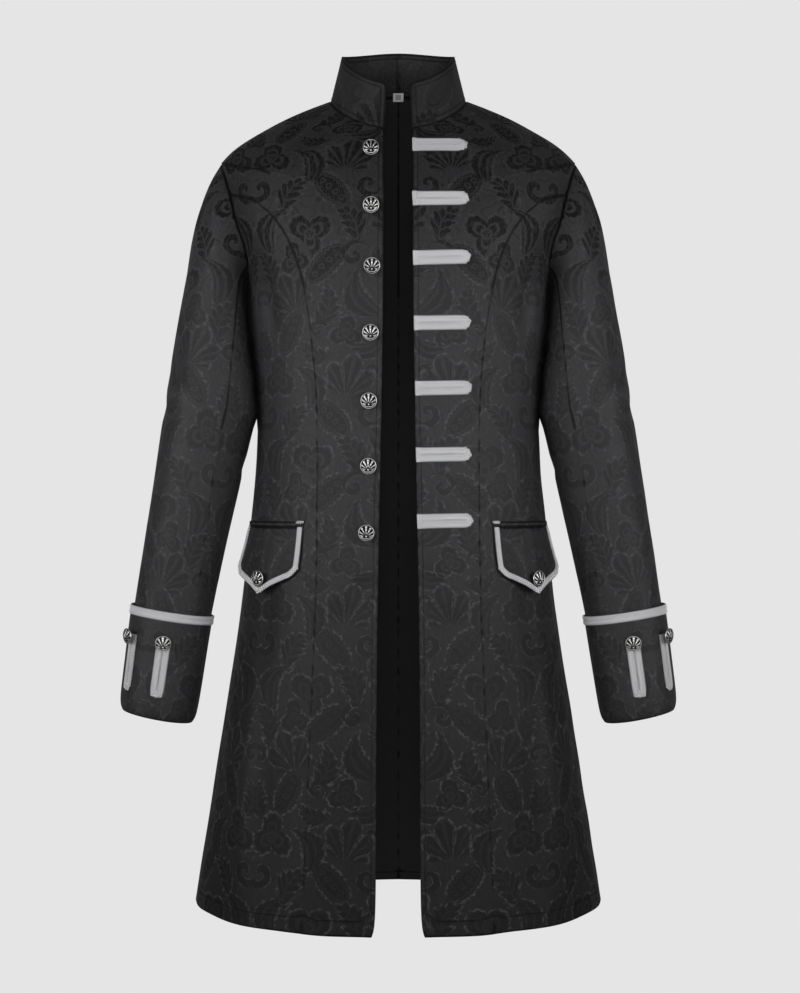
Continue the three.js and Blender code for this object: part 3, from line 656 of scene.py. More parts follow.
def sewn_nodes(graph: Graph, entry: Node) -> dict[str, Socket]:
    """The turned edge of a sewn piece: it dips at the seam and puckers a little beside it.

    Args:
        graph: The group's graph.
        entry: The group's input node, with Vector, Distance, Top, Hem and Depth.

    Returns:
        The sockets of the height and of the shade in the seam.
    """
    distance = graph.math("DIVIDE", entry.outputs["Distance"], MM)
    rise = graph.step(distance, 0.0, 2.6)
    near = graph.step(distance, 16.0, 2.0)
    ripple = graph.noise(entry.outputs["Vector"], 95.0, 1.0)
    pucker = graph.times(graph.times(near, ripple), 0.55)
    height = graph.times(graph.plus(rise, pucker), entry.outputs["Depth"])
    groove: Value = 0.0
    for name, inset in (("Top", TOP_INSET), ("Hem", HEM_INSET)):
        off = graph.absolute(graph.minus(entry.outputs[name], inset))
        groove = graph.larger(groove, graph.step(off, 1.2 * MM, 0.2 * MM))
    height = graph.times_plus(groove, -0.45, height)
    shade = graph.larger(graph.step(distance, 2.8, 0.8), graph.times(groove, 0.7))
    return {"Height": height, "Shade": shade}


def wear_nodes(graph: Graph, entry: Node) -> dict[str, Socket]:
    """Slow and fine variation of a surface.

    Args:
        graph: The group's graph.
        entry: The group's input node, with Vector and Scale.

    Returns:
        The sockets of the slow and the fine variation.
    """
    scaled = graph.vector("SCALE", entry.outputs["Vector"])
    graph.feed(scaled.node.inputs["Scale"], entry.outputs["Scale"])
    slow = graph.noise(scaled, 7.0, 3.0)
    fine = graph.noise(scaled, 160.0, 2.0)
    return {"Slow": slow, "Fine": fine}


VECTOR = ("NodeSocketVector", None)


@dataclass
class Workshop:
    """The node groups that the finishes share."""

    damask: Tree = field(init=False)
    weave: Tree = field(init=False)
    sewn: Tree = field(init=False)
    wear: Tree = field(init=False)

    def __post_init__(self) -> None:
        """Builds each group once."""
        number = "NodeSocketFloat"
        self.damask = node_group(
            "damask repeat", {"Vector": VECTOR}, {"Fill": number, "Line": number}, DamaskPattern().build
        )
        self.weave = node_group(
            "satin weave", {"Vector": VECTOR, "Pitch": (number, 0.0008)}, {"Height": number}, weave_nodes
        )
        self.sewn = node_group(
            "sewn edge",
            {
                "Vector": VECTOR,
                "Distance": (number, 0.1),
                "Top": (number, 0.0),
                "Hem": (number, 0.0),
                "Depth": (number, 1.0),
            },
            {"Height": number, "Shade": number},
            sewn_nodes,
        )
        scaled = {"Vector": VECTOR, "Scale": (number, 1.0)}
        self.wear = node_group("soft wear", scaled, {"Slow": number, "Fine": number}, wear_nodes)

    def use(self, graph: Graph, group: Tree, **values: object) -> Node:
        """Places a group in a material.

        Args:
            graph: The material's graph.
            group: The group.
            **values: Its inputs, by name.

        Returns:
            The group's node.
        """
        made = graph.node("ShaderNodeGroup", node_tree=group)
        for name, value in values.items():
            graph.feed(made.inputs[name], value)
        return made


def new_material(name: str) -> tuple[Material, Graph, Node]:
    """Starts a material with a Principled shader.

    Args:
        name: The material's name.

    Returns:
        The material, its graph and its shader node.
    """
    material = bpy.data.materials.new(name)
    material.use_nodes = True
    graph = Graph(material.node_tree)
    return material, graph, material.node_tree.nodes["Principled BSDF"]


@dataclass(frozen=True)
class ClothFinish:
    """A satin cloth, with or without the woven repeat. A Span is two heights that a change runs between."""

    name: str
    ground: Colour
    ground_roughness: float
    specular: float
    motif: Colour = (0.0025, 0.0025, 0.003)
    # thread: the lighter colour of the thin lines at the motifs' edges, a painted highlight where their raised
    # edges catch the light.
    thread: Colour = (0.06, 0.06, 0.064)
    # seam: the dark colour of the painted shade along each piece's edges and seams and in the stitching grooves.
    seam: Colour = (0.002, 0.002, 0.002)
    motif_roughness: float = 0.66
    patterned: bool = True
    sewn_depth: float = 1.0
    mottle: float = 1.1
    # fade scales the painted shade that darkens the cloth by height, where less light falls: chest_fade grows
    # upwards over the chest span and skirt_fade grows downwards over the skirt span.
    fade: float = 1.0
    chest: Span = (-0.32, -0.12)
    chest_fade: float = 0.3
    skirt: Span = (-0.38, -0.86)
    skirt_fade: float = 0.55
    # clear_chest, clear_skirt and least_share set how strongly the motifs show; their stronger contrast on the
    # upper chest and in the skirt is painted light, the sheen of the satin ground against the matte motifs.
    clear_chest: Span = (-0.31, -0.15)
    clear_skirt: Span = (-0.6, -0.85)
    least_share: float = 0.36
    plain_neck: Span = (-0.03, 0.0)
    streak_scale: float = 420.0
    # fold_bloom: painted highlight on crease ridges and painted shade in their troughs, per millimetre of crease
    # height.
    fold_bloom: float = 0.13

    def material(self, shop: Workshop) -> Material:
        """Builds the material.

        Args:
            shop: The shared node groups.

        Returns:
            The material.
        """
        material, graph, shader = new_material(self.name)
        uv = graph.uv_map()
        edge = graph.attribute(EDGE_NAME)
        wear = shop.use(graph, shop.wear, Vector=uv)
        weave = shop.use(graph, shop.weave, Vector=uv)
        top = graph.attribute(TOP_NAME)
        hem = graph.attribute(HEM_NAME)
        sewn = shop.use(graph, shop.sewn, Vector=uv, Distance=edge, Top=top, Hem=hem, Depth=self.sewn_depth)
        colour: object = (*self.ground, 1.0)
        rough: Value = self.ground_roughness
        height = graph.times(sewn.outputs["Height"], 0.9)
        if self.patterned:
            colour, rough = self.pattern(graph, shop, uv, wear)
        height = graph.times_plus(weave.outputs["Height"], 0.06, height)
        height = graph.times_plus(wear.outputs["Fine"], 0.1, height)
        height = graph.times_plus(graph.noise(uv, 42.0, 2.0), self.mottle, height)
        rough = graph.times_plus(graph.minus(wear.outputs["Slow"], 0.5), 0.16, rough)
        # Painted shade along the edges and seams and in the stitching grooves.
        colour = graph.blend(graph.times(sewn.outputs["Shade"], 0.8), colour, (*self.seam, 1.0))
        graph.bump(shader, height, 1.0, MM)
        graph.feed(shader.inputs["Base Color"], colour)
        graph.feed(shader.inputs["Roughness"], rough)
        shader.inputs["Specular IOR Level"].default_value = self.specular
        return material

    def pattern(self, graph: Graph, shop: Workshop, uv: Socket, wear: Node) -> tuple[Socket, Socket]:
        """Draws the woven repeat, clearer on the chest and in the skirt than between them. That clearer
        contrast, the painted shade on the upper chest and in the skirt, the light lines at the motifs' edges and
        the light and dark on the creases are painted light.

        Args:
            graph: The material's graph.
            shop: The shared node groups.
            uv: The piece's UV map.
            wear: The node of the slow and fine variation.

        Returns:
            The cloth's colour and roughness.
        """
        place = graph.node("ShaderNodeSeparateXYZ")
        graph.feed(place.inputs[0], graph.object_place())
        z = place.outputs["Z"]
        streaks = graph.noise(graph.vector("MULTIPLY", uv, (1.0, 0.3, 1.0)), self.streak_scale, 1.0)
        fold = graph.attribute(FOLD_NAME)
        # Weave streaks, with painted highlight on crease ridges and painted shade in their troughs.
        streaks_and_painted_light = graph.times_plus(fold, self.fold_bloom, graph.times_plus(streaks, 0.5, 0.75))
        # Painted shade: darker on the upper chest and in the skirt, where less light falls.
        high = graph.times_plus(graph.step(z, *self.chest), -self.chest_fade * self.fade, 1.0)
        low = graph.times_plus(graph.step(z, *self.skirt), -self.skirt_fade * self.fade, 1.0)
        streaks_and_painted_light = graph.times(streaks_and_painted_light, graph.times(graph.times(high, low), 0.5), clamp=True)
        colour = graph.blend(streaks_and_painted_light, (0.0, 0.0, 0.0, 1.0), (*(2.0 * c for c in self.ground), 1.0))
        # The motifs are the woven repeat; their stronger contrast on the upper chest and in the skirt is painted
        # light.
        upper = graph.step(z, *self.clear_chest)
        lower = graph.times(graph.step(z, *self.clear_skirt), 0.55)
        slow = graph.times_plus(wear.outputs["Slow"], 0.9, 0.55, clamp=True)
        share = graph.times(slow, graph.larger(graph.larger(upper, lower), self.least_share))
        plain = graph.times_plus(graph.step(z, *self.plain_neck), -0.7, 1.0)
        broken = graph.times_plus(graph.step(streaks, 0.36, 0.56), 0.5, 0.5)
        share = graph.times(graph.times(share, plain), broken)
        drawn = shop.use(graph, shop.damask, Vector=uv)
        fill = graph.times(drawn.outputs["Fill"], share)
        # Painted highlight: the lighter lines at the motifs' edges, fainter on the upper chest and broken by
        # fine noise.
        edge_highlight_share = graph.times(graph.times_plus(upper, -0.55, 0.9), graph.step(wear.outputs["Fine"], 0.4, 0.62))
        line = graph.times(drawn.outputs["Line"], edge_highlight_share)
        colour = graph.blend(fill, colour, (*self.motif, 1.0))
        colour = graph.blend(line, colour, (*self.thread, 1.0))
        spread = self.motif_roughness - self.ground_roughness
        return colour, graph.times_plus(fill, spread, self.ground_roughness)


@dataclass(frozen=True)
class BraidFinish:
    """A flat plaited braid of pale thread with a metallic glint, with painted shade in the hollows between its
    strands.
    """

    name: str = "silver braid"
    thread: Colour = (0.86, 0.85, 0.87)
    # hollow: the dark colour of the painted shade between the strands.
    hollow: Colour = (0.07, 0.068, 0.075)
    pitch: float = 0.0032

    def material(self, shop: Workshop) -> Material:
        """Builds the material. U runs along the braid and V across it, from -1 to 1, both in its UV map.

        Args:
            shop: The shared node groups.

        Returns:
            The material.
        """
        material, graph, shader = new_material(self.name)
        uv = graph.uv_map()
        along, across = graph.split(uv)
        off = graph.absolute(across)
        fold = graph.math("PINGPONG", off, 0.5)
        slant = graph.times_plus(fold, 1.6 * self.pitch, along)
        wave = graph.math("COSINE", graph.times(slant, 2 * math.pi / self.pitch))
        strand = graph.step(wave, -0.7, 0.6)
        wear = shop.use(graph, shop.wear, Vector=uv, Scale=4.0)
        # Painted shade: the strands are pale and the hollows between them dark.
        lit = graph.times_plus(strand, 0.75, 0.05)
        tone = graph.times_plus(wear.outputs["Slow"], 0.25, lit, clamp=True)
        colour = graph.blend(tone, (*self.hollow, 1.0), (*self.thread, 1.0))
        graph.bump(shader, strand, 0.8, 0.25 * MM)
        graph.feed(shader.inputs["Base Color"], colour)
        graph.feed(shader.inputs["Roughness"], graph.times_plus(strand, -0.15, 0.62))
        shader.inputs["Specular IOR Level"].default_value = 0.5
        return material


@dataclass(frozen=True)
class MetalFinish:
    """Antique silver: bright on the raised work and dark in the hollows."""

    name: str = "antique silver"
    bright: Colour = (0.66, 0.65, 0.64)
    dark: Colour = (0.006, 0.006, 0.007)

    def material(self, shop: Workshop) -> Material:
        """Builds the material. The piece's height attribute says how far a point is raised, from 0 to 1.

        Args:
            shop: The shared node groups.

        Returns:
            The material.
        """
        material, graph, shader = new_material(self.name)
        raised = graph.attribute(RAISED_NAME)
        coordinates = graph.object_place()
        wear = shop.use(graph, shop.wear, Vector=coordinates, Scale=9.0)
        rubbed = graph.times_plus(wear.outputs["Slow"], 0.5, graph.minus(raised, 0.25))
        shine = graph.step(rubbed, 0.38, 0.92)
        graph.feed(shader.inputs["Base Color"], graph.blend(shine, (*self.dark, 1.0), (*self.bright, 1.0)))
        graph.feed(shader.inputs["Roughness"], graph.times_plus(shine, -0.2, 0.5))
        graph.bump(shader, wear.outputs["Fine"], 0.3, 0.1 * MM)
        shader.inputs["Metallic"].default_value = 0.9
        return material


@dataclass(frozen=True)
class ThreadFinish:
    """Black sewing thread."""

    name: str = "sewing thread"
    colour: Colour = (0.006, 0.006, 0.006)

    def material(self, shop: Workshop) -> Material:
        """Builds the material.

        Args:
            shop: The shared node groups.

        Returns:
            The material.
        """
        material, graph, shader = new_material(self.name)
        coordinates = graph.object_place()
        wear = shop.use(graph, shop.wear, Vector=coordinates, Scale=3.0)
        pale = tuple(3.0 * c for c in self.colour)
        colour = graph.blend(wear.outputs["Fine"], (*self.colour, 1.0), (*pale, 1.0))
        graph.feed(shader.inputs["Base Color"], colour)
        shader.inputs["Roughness"].default_value = 0.6
        shader.inputs["Specular IOR Level"].default_value = 0.3
        return material


@dataclass(frozen=True)
class LabelFinish:
    """A blank woven label, pale with a greyer patch in its middle."""

    name: str = "blank label"
    ground: Colour = (0.95, 0.95, 0.93)
    patch: Colour = (0.5, 0.49, 0.49)

    def material(self, shop: Workshop) -> Material:
        """Builds the material. Its UV map runs from 0 to 1 over the label.

        Args:
            shop: The shared node groups.

        Returns:
            The material.
        """
        material, graph, shader = new_material(self.name)
        uv = graph.uv_map()
        x, y = graph.split(uv)
        beside = graph.step(graph.absolute(graph.minus(x, 0.5)), 0.3, 0.22)
        above = graph.step(graph.absolute(graph.minus(y, 0.5)), 0.34, 0.26)
        weave = shop.use(graph, shop.weave, Vector=uv, Pitch=0.05)
        colour = graph.blend(graph.times(beside, above), (*self.ground, 1.0), (*self.patch, 1.0))
        graph.feed(shader.inputs["Base Color"], colour)
        graph.bump(shader, weave.outputs["Height"], 0.4, 0.1 * MM)
        shader.inputs["Roughness"].default_value = 0.7
        return material


@dataclass
class Finishes:
    """Every material of the coat, built once."""

    shop: Workshop = field(default_factory=Workshop)

    def __post_init__(self) -> None:
        """Builds the materials."""
        damask = ClothFinish(
            name="black damask",
            ground=(0.03, 0.03, 0.032),
            ground_roughness=0.42,
            specular=0.16,
        )
        self.damask = damask.material(self.shop)
        # The sleeves get no painted shade by height.
        self.sleeve_damask = replace(damask, name="black damask of the sleeves", fade=0.0).material(self.shop)
        self.lining = ClothFinish(
            name="black lining",
            ground=(0.045, 0.045, 0.045),
            ground_roughness=0.6,
            specular=0.12,
            patterned=False,
        ).material(self.shop)
        self.braid = BraidFinish().material(self.shop)
        self.metal = MetalFinish().material(self.shop)
        self.thread = ThreadFinish().material(self.shop)
        self.label = LabelFinish().material(self.shop)


def node_mesh(name: str) -> Shell:
    """A copy of a solid's mesh, with its loose triangles merged.

    Args:
        name: The CAD node.

    Returns:
        The merged mesh.
    """
    shell = bmesh.new()
    shell.from_mesh(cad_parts[name].data)
    bmesh.ops.remove_doubles(shell, verts=shell.verts, dist=WELD)
    return shell


def corner_points(name: str) -> Array:
    """The points of a solid, one row each."""
    shell = node_mesh(name)
    points = np.array([vertex.co[:] for vertex in shell.verts])
    shell.free()
    return points


def tree_of(meshes: Iterable[Mesh]) -> BVHTree:
    """A tree of several meshes, for rays.

    Args:
        meshes: The meshes.

    Returns:
        The tree of all their faces.
    """
    points: list[Vector] = []
    faces: list[list[int]] = []
    for mesh in meshes:
        start = len(points)
        points.extend(vertex.co.copy() for vertex in mesh.vertices)
        faces.extend([start + k for k in polygon.vertices] for polygon in mesh.polygons)
    return BVHTree.FromPolygons(points, faces)


def distances_along(points: Array) -> Array:
    """The distance of each point of a line from its start, along the line."""
    return np.concatenate([[0.0], np.cumsum(np.linalg.norm(np.diff(points, axis=0), axis=1))])


def read_along(places: Array, marks: Array, values: Array) -> Array:
    """A line's points or normals at some distances along it, between the marks of its own points."""
    return np.stack([np.interp(places, marks, values[:, k]) for k in range(3)], axis=1)


def inward_ray(turn: float, height: float) -> Place:
    """A level ray from outside the coat to its middle, as its start and direction."""
    way = Vector((math.sin(turn), -math.cos(turn), 0))
    return Vector((0, 0, height)) + way, -way


@dataclass
class Placed:
    """Points in a wrap: distance round, distance up, and the way out of the coat at each."""

    around: Array
    up: Array
    outward: Array


class BodyWrap:
    """Distances round the body and up it, measured on the solids of its panels."""

    HEIGHT_STEP = 0.015
    TURNS = 61
    NEAR = math.radians(17)
    STEEPEST = 0.02

    def __init__(self) -> None:
        """Casts rays from the coat's middle to its panels, on the wearer's left."""
        names = [f"{part}_L" for part in ("front", "side_front", "side_back", "back")]
        tree = tree_of(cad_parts[name].data for name in names)
        low = min(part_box(name)[0][2] for name in names)
        high = max(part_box(name)[1][2] for name in names)
        self.heights = np.arange(low + MM, high, self.HEIGHT_STEP)
        self.turns = np.linspace(0.0, math.pi, self.TURNS)
        rows = [self.reach_at(tree, height) for height in self.heights]
        middle = len(rows) // 2
        for index in (*range(middle + 1, len(rows)), *range(middle - 1, -1, -1)):
            beside = rows[index - 1] if index > middle else rows[index + 1]
            rows[index] = np.where(np.isnan(rows[index]), beside, rows[index])
        self.reach = np.array(rows)
        mean = (self.reach[:, 1:] + self.reach[:, :-1]) / 2
        run = np.hypot(np.diff(self.reach, axis=1), mean * np.diff(self.turns))
        self.around = np.concatenate([np.zeros((len(rows), 1)), np.cumsum(run, axis=1)], axis=1)
        slope = np.clip(np.diff(self.reach, axis=0), -self.STEEPEST, self.STEEPEST)
        rise = np.hypot(slope, self.HEIGHT_STEP)
        self.up = np.concatenate([np.zeros((1, self.TURNS)), np.cumsum(rise, axis=0)], axis=0)
        self.lean, self.skew = np.gradient(self.reach, self.heights, self.turns)

    def reach_at(self, tree: BVHTree, height: float) -> Array:
        """The panels' distance from the middle at one height.

        Args:
            tree: The panels.
            height: The height.

        Returns:
            A distance for each turn. It isn't a number far from where a panel is hit.
        """
        found = []
        for turn in self.turns:
            away = Vector((math.sin(turn), -math.cos(turn), 0.0))
            hit = tree.ray_cast(Vector((0.0, 0.0, height)), away)
            found.append(hit[3] if hit[0] is not None else math.nan)
        row = np.array(found)
        known = ~np.isnan(row)
        if not known.any():
            return row
        apart = np.abs(self.turns[:, None] - self.turns[known][None, :]).min(axis=1)
        filled = np.interp(self.turns, self.turns[known], row[known])
        return np.where(apart < self.NEAR, filled, math.nan)

    def look_up(self, table: Array, turns: Array, heights: Array) -> Array:
        """Reads a table between its rows and columns.

        Args:
            table: Values by height and turn.
            turns: Turns from the centre front, in radians.
            heights: Heights.

        Returns:
            A value for each point.
        """
        row = np.clip((heights - self.heights[0]) / self.HEIGHT_STEP, 0, len(self.heights) - 1.001)
        column = np.clip(turns / math.pi * (self.TURNS - 1), 0, self.TURNS - 1.001)
        r, c = row.astype(int), column.astype(int)
        dr, dc = row - r, column - c
        low = table[r, c] * (1 - dc) + table[r, c + 1] * dc
        high = table[r + 1, c] * (1 - dc) + table[r + 1, c + 1] * dc
        return low * (1 - dr) + high * dr

    def place(self, points: Array, anchor: Anchor = Anchor.CENTRE_FRONT) -> Placed:
        """Places points on the body.

        Args:
            points: The points, one row each.
            anchor: Where distances round start.

        Returns:
            Their places. Distances round have the sign of X.
        """
        hand = np.where(points[:, 0] < 0, -1.0, 1.0)
        turns = np.arctan2(np.abs(points[:, 0]), -points[:, 1])
        heights = points[:, 2]
        around = self.look_up(self.around, turns, heights)
        if anchor is Anchor.CENTRE_BACK:
            around = self.look_up(self.around, np.full_like(turns, math.pi), heights) - around
        up = self.look_up(self.up, turns, heights)
        reach = self.look_up(self.reach, turns, heights)
        lean = self.look_up(self.lean, turns, heights)
        skew = self.look_up(self.skew, turns, heights) / reach
        sine, cosine = np.sin(turns), np.cos(turns)
        outward = np.stack([hand * (sine - skew * cosine), -cosine - skew * sine, -lean], axis=1)
        outward /= np.linalg.norm(outward, axis=1, keepdims=True)
        return Placed(hand * around, up, outward)


@dataclass
class SleeveWrap:
    """Distances round a sleeve and down it, from the line through its middle."""

    hand: Hand
    middle_turn: float = 0.0
    line: tuple[tuple[float, float, float], ...] = (
        (0.1967, 0.003, -0.1505),
        (0.211, -0.002, -0.193),
        (0.218, -0.012, -0.2735),
        (0.2315, -0.018, -0.400),
        (0.2496, -0.016, -0.4965),
        (0.2716, -0.016, -0.6085),
        (0.2907, -0.018, -0.735),
    )
    upper_radius: float = 0.066
    lower_radius: float = 0.052
    length: float = 0.6

    SEARCHED = (-0.12, 0.75, 291)
    LOOK_AHEAD = 0.02
    RAY_START = 0.15

    def middle(self, along: Array) -> Array:
        """Points on the middle line, which runs straight on past its ends.

        Args:
            along: Distances from the line's start.

        Returns:
            The points, one row each.
        """
        stations = np.array(self.line) * (self.hand.value, 1, 1)
        steps = np.linalg.norm(np.diff(stations, axis=0), axis=1)
        marks = distances_along(stations)
        inside = read_along(along, marks, stations)
        first = (stations[1] - stations[0]) / steps[0]
        last = (stations[-1] - stations[-2]) / steps[-1]
        before = np.minimum(along, 0.0)[:, None] * first
        after = np.maximum(along - marks[-1], 0.0)[:, None] * last
        return inside + before + after

    def find_along(self, points: Array) -> Array:
        """The distance down the line that is nearest to each point.

        Args:
            points: The points.

        Returns:
            Distances from the line's start.
        """
        marks = np.linspace(*self.SEARCHED)
        samples = self.middle(marks)
        apart = np.linalg.norm(points[:, None, :] - samples[None, :, :], axis=2)
        return marks[np.argmin(apart, axis=1)]

    def radius(self, along: Array) -> Array:
        """The sleeve's mean radius."""
        share = np.clip(along / self.length, 0, 1)
        return self.upper_radius + (self.lower_radius - self.upper_radius) * share

    def axes(self, along: Array) -> tuple[Array, Array]:
        """The way down the sleeve, and the way to its outer side.

        Args:
            along: Distances from the line's start.

        Returns:
            Both directions for each point.
        """
        down = self.middle(along + self.LOOK_AHEAD) - self.middle(along - self.LOOK_AHEAD)
        down /= np.linalg.norm(down, axis=1, keepdims=True)
        outer = np.stack([-down[:, 2], np.zeros(len(down)), down[:, 0]], axis=1) * self.hand.value
        outer /= np.linalg.norm(outer, axis=1, keepdims=True)
        return down, outer

    def place(self, points: Array) -> Placed:
        """Places points on the sleeve.

        Args:
            points: The points, one row each.

        Returns:
            Their places. Round is 0 on the outer side and grows towards the front.
        """
        along = self.find_along(points)
        down, outer = self.axes(along)
        arm = points - self.middle(along)
        along = along + np.einsum("ij,ij->i", arm, down)
        arm -= np.einsum("ij,ij->i", arm, down)[:, None] * down
        turns = np.degrees(np.arctan2(-arm[:, 1], np.einsum("ij,ij->i", arm, outer)))
        turns = (turns - self.middle_turn + 180) % 360 - 180 + self.middle_turn
        outward = arm / np.linalg.norm(arm, axis=1, keepdims=True)
        return Placed(np.radians(turns) * self.radius(along), -along, outward)

    def ray(self, along: float, turn: float) -> Place:
        """A ray from outside the sleeve towards its middle.

        Args:
            along: Distance down the sleeve.
            turn: Turn from the outer side, in degrees.

        Returns:
            The ray's start and direction.
        """
        place = np.array([along])
        down, outer = self.axes(place)
        angle = math.radians(turn)
        way = Vector(outer[0]) * math.cos(angle) + Vector((0, -1, 0)) * math.sin(angle)
        return Vector(self.middle(place)[0]) + way * self.RAY_START, -way


@dataclass
class CollarWrap:
    """Distances round the collar and up it."""

    radius: float = 0.074

    def place(self, points: Array) -> Placed:
        """Places points on the collar.

        Args:
            points: The points, one row each.

        Returns:
            Their places. Round is 0 at the centre front and has the sign of X.
        """
        turns = np.arctan2(points[:, 0], -points[:, 1])
        outward = np.stack([np.sin(turns), -np.cos(turns), np.zeros(len(turns))], axis=1)
        return Placed(turns * self.radius, points[:, 2].copy(), outward)


@dataclass(frozen=True)
class Crease:
    """A soft ridge, or a trough where its depth is negative, in millimetres."""

    from_around: float
    from_up: float
    to_around: float
    to_up: float
    width: float
    depth: float

    TAPER_ENDS = (0.02, 0.98)
    TAPER_POWER = 0.6

    def lift(self, around: Array, up: Array) -> Array:
        """How far the crease lifts points, in metres.

        Args:
            around: Their distances round, in metres.
            up: Their heights, in metres.

        Returns:
            The lift of each.
        """
        start = np.array([self.from_around, self.from_up]) * MM
        run = np.array([self.to_around, self.to_up]) * MM - start
        offset = np.stack([around, up], axis=1) - start
        share = np.clip(offset @ run / (run @ run), 0, 1)
        apart = np.linalg.norm(offset - share[:, None] * run, axis=1) / (self.width * MM)
        taper = np.sin(np.pi * np.clip(share, *self.TAPER_ENDS)) ** self.TAPER_POWER
        return self.depth * MM * np.exp(-(apart**2)) * taper


RIPPLE_WAVES = 7
RIPPLE_LENGTHS = (0.045, 0.13)


def ripple(around: Array, up: Array, size: float, seed: int) -> Array:
    """A slight unevenness of hand, in metres.

    Args:
        around: Distances round.
        up: Heights.
        size: Its largest lift.
        seed: Picks the waves.

    Returns:
        The lift of each point.
    """
    draw = np.random.default_rng(seed)
    total = np.zeros_like(around)
    for _ in range(RIPPLE_WAVES):
        turn = draw.uniform(0, math.pi)
        length = draw.uniform(*RIPPLE_LENGTHS)
        phase = draw.uniform(0, 2 * math.pi)
        total += np.sin((around * math.cos(turn) + up * math.sin(turn)) * 2 * math.pi / length + phase)
    return total * size / RIPPLE_WAVES


@dataclass
class Cloth:
    """A sewn piece: its solid's wall made smooth, with turned edges, soft creases and its own pattern."""

    node: str
    place: Callable[[Array], Placed]
    outside: Material
    inside: Material
    creases: tuple[Crease, ...] = ()
    slot: Slot = Slot.DAMASK
    shift: tuple[float, float] = (0.0, 0.0)
    ease: float = 0.35
    held: str = "hung"
    edge: float = 0.6
    levels: int = 2
    period: float = 0.0
    longest: float = 0.013
    seam: float = 0.16
    topstitched: Callable[[Array], Array] | None = None
    hemmed: bool = False
    slide: Callable[[Array], Array] | None = None
    seed: int = 1

    CORNER = math.radians(50)
    FLATTISH = math.radians(60)
    RIM_STEPS = 12
    SIDE_ON = 0.5
    INSIDE_FACE = -0.35
    SECTORS = 40
    HEM_DEPTH = 4 * MM
    SHADING_WEIGHT = 80
    LEAST_SHARE = 0.3
    LEAST_SIZE = 0.01

    def build(self) -> Piece:
        """Returns:
            The finished object.
        """
        mesh = self.smooth_mesh()
        piece = bpy.data.objects.new(f"cloth_{self.node}", mesh)
        bpy.context.scene.collection.objects.link(piece)
        points = np.empty(len(mesh.vertices) * 3)
        mesh.vertices.foreach_get("co", points)
        points = points.reshape(-1, 3)
        if self.slide is not None:
            points = self.slide(points)
            self.rim = self.slide(self.rim)
        placed = self.place(points)
        lift = ripple(placed.around, points[:, 2], self.ease * MM, self.seed)
        folds = np.zeros(len(points))
        for crease in self.creases:
            folds += crease.lift(placed.around, points[:, 2])
        points += (lift + folds)[:, None] * placed.outward
        mesh.vertices.foreach_set("co", points.ravel())
        mesh.update()
        self.write_pattern(mesh, placed)
        # Crease heights, which the damask reads for its painted highlight and shade on the creases.
        heights = (folds / MM).astype(np.float32)
        mesh.attributes.new(FOLD_NAME, "FLOAT", "POINT").data.foreach_set("value", heights)
        self.write_edge(mesh, points)
        self.paint(mesh, placed)
        mesh.shade_smooth()
        piece.modifiers.new("even shading", "WEIGHTED_NORMAL").weight = self.SHADING_WEIGHT
        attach(piece, BODY)
        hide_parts(self.node)
        self.declare(mesh, placed)
        LOG.info("%s: %d faces", piece.name, len(mesh.polygons))
        return piece

    def smooth_mesh(self) -> Mesh:
        """The solid's wall, rounded at its edges and subdivided.

        Returns:
            The mesh.
        """
        shell = node_mesh(self.node)
        bmesh.ops.join_triangles(
            shell,
            faces=shell.faces,
            angle_face_threshold=self.FLATTISH,
            angle_shape_threshold=math.pi,
        )
        crease = shell.edges.layers.float.new("crease_edge")
        corners = [edge for edge in shell.edges if edge.calc_face_angle(0.0) > self.CORNER]
        shares = np.linspace(0, 1, self.RIM_STEPS)
        ends = [[vertex.co for vertex in edge.verts] for edge in corners]
        self.rim = np.array([start.lerp(end, share)[:] for start, end in ends for share in shares])
        self.meet_neighbours(shell)
        for edge in corners:
            edge[crease] = 1.0
        cage = bpy.data.meshes.new(f"{self.node}_cage")
        shell.to_mesh(cage)
        shell.free()
        holder = bpy.data.objects.new(f"{self.node}_cage", cage)
        bpy.context.scene.collection.objects.link(holder)
        rounding = holder.modifiers.new("rounding", "SUBSURF")
        rounding.levels = rounding.render_levels = self.levels
        graph = bpy.context.evaluated_depsgraph_get()
        smooth = bpy.data.meshes.new_from_object(holder.evaluated_get(graph))
        bpy.data.objects.remove(holder)
        bpy.data.meshes.remove(cage)
        finer = bmesh.new()
        finer.from_mesh(smooth)
        long_edges = [edge for edge in finer.edges if edge.calc_length() > self.longest]
        bmesh.ops.subdivide_edges(finer, edges=long_edges, cuts=1, use_grid_fill=True)
        bmesh.ops.bevel(
            finer,
            geom=[edge for edge in finer.edges if edge.calc_face_angle(0.0) > self.CORNER],
            offset=self.edge * MM,
            offset_type="OFFSET",
            segments=2,
            profile=0.5,
            affect="EDGES",
            clamp_overlap=True,
            material=-1,
        )
        finer.to_mesh(smooth)
        finer.free()
        smooth.name = f"cloth_{self.node}"
        return smooth

    def meet_neighbours(self, shell: Shell) -> None:
        """Lets the sides of the wall out by half a seam, so that sewn pieces touch.

        Args:
            shell: The solid's merged mesh.
        """
        points = np.array([face.calc_center_median()[:] for face in shell.faces])
        outward = self.place(points).outward
        shell.normal_update()
        faces = zip(shell.faces, outward)
        sides = [face for face, out in faces if abs(face.normal.dot(Vector(out))) < self.SIDE_ON]
        moves: dict[bmesh.types.BMVert, list[Vector]] = {}
        for face in sides:
            for vertex in face.verts:
                moves.setdefault(vertex, []).append(face.normal.copy())
        for vertex, normals in moves.items():
            vertex.co += sum(normals, Vector()).normalized() * self.seam * MM

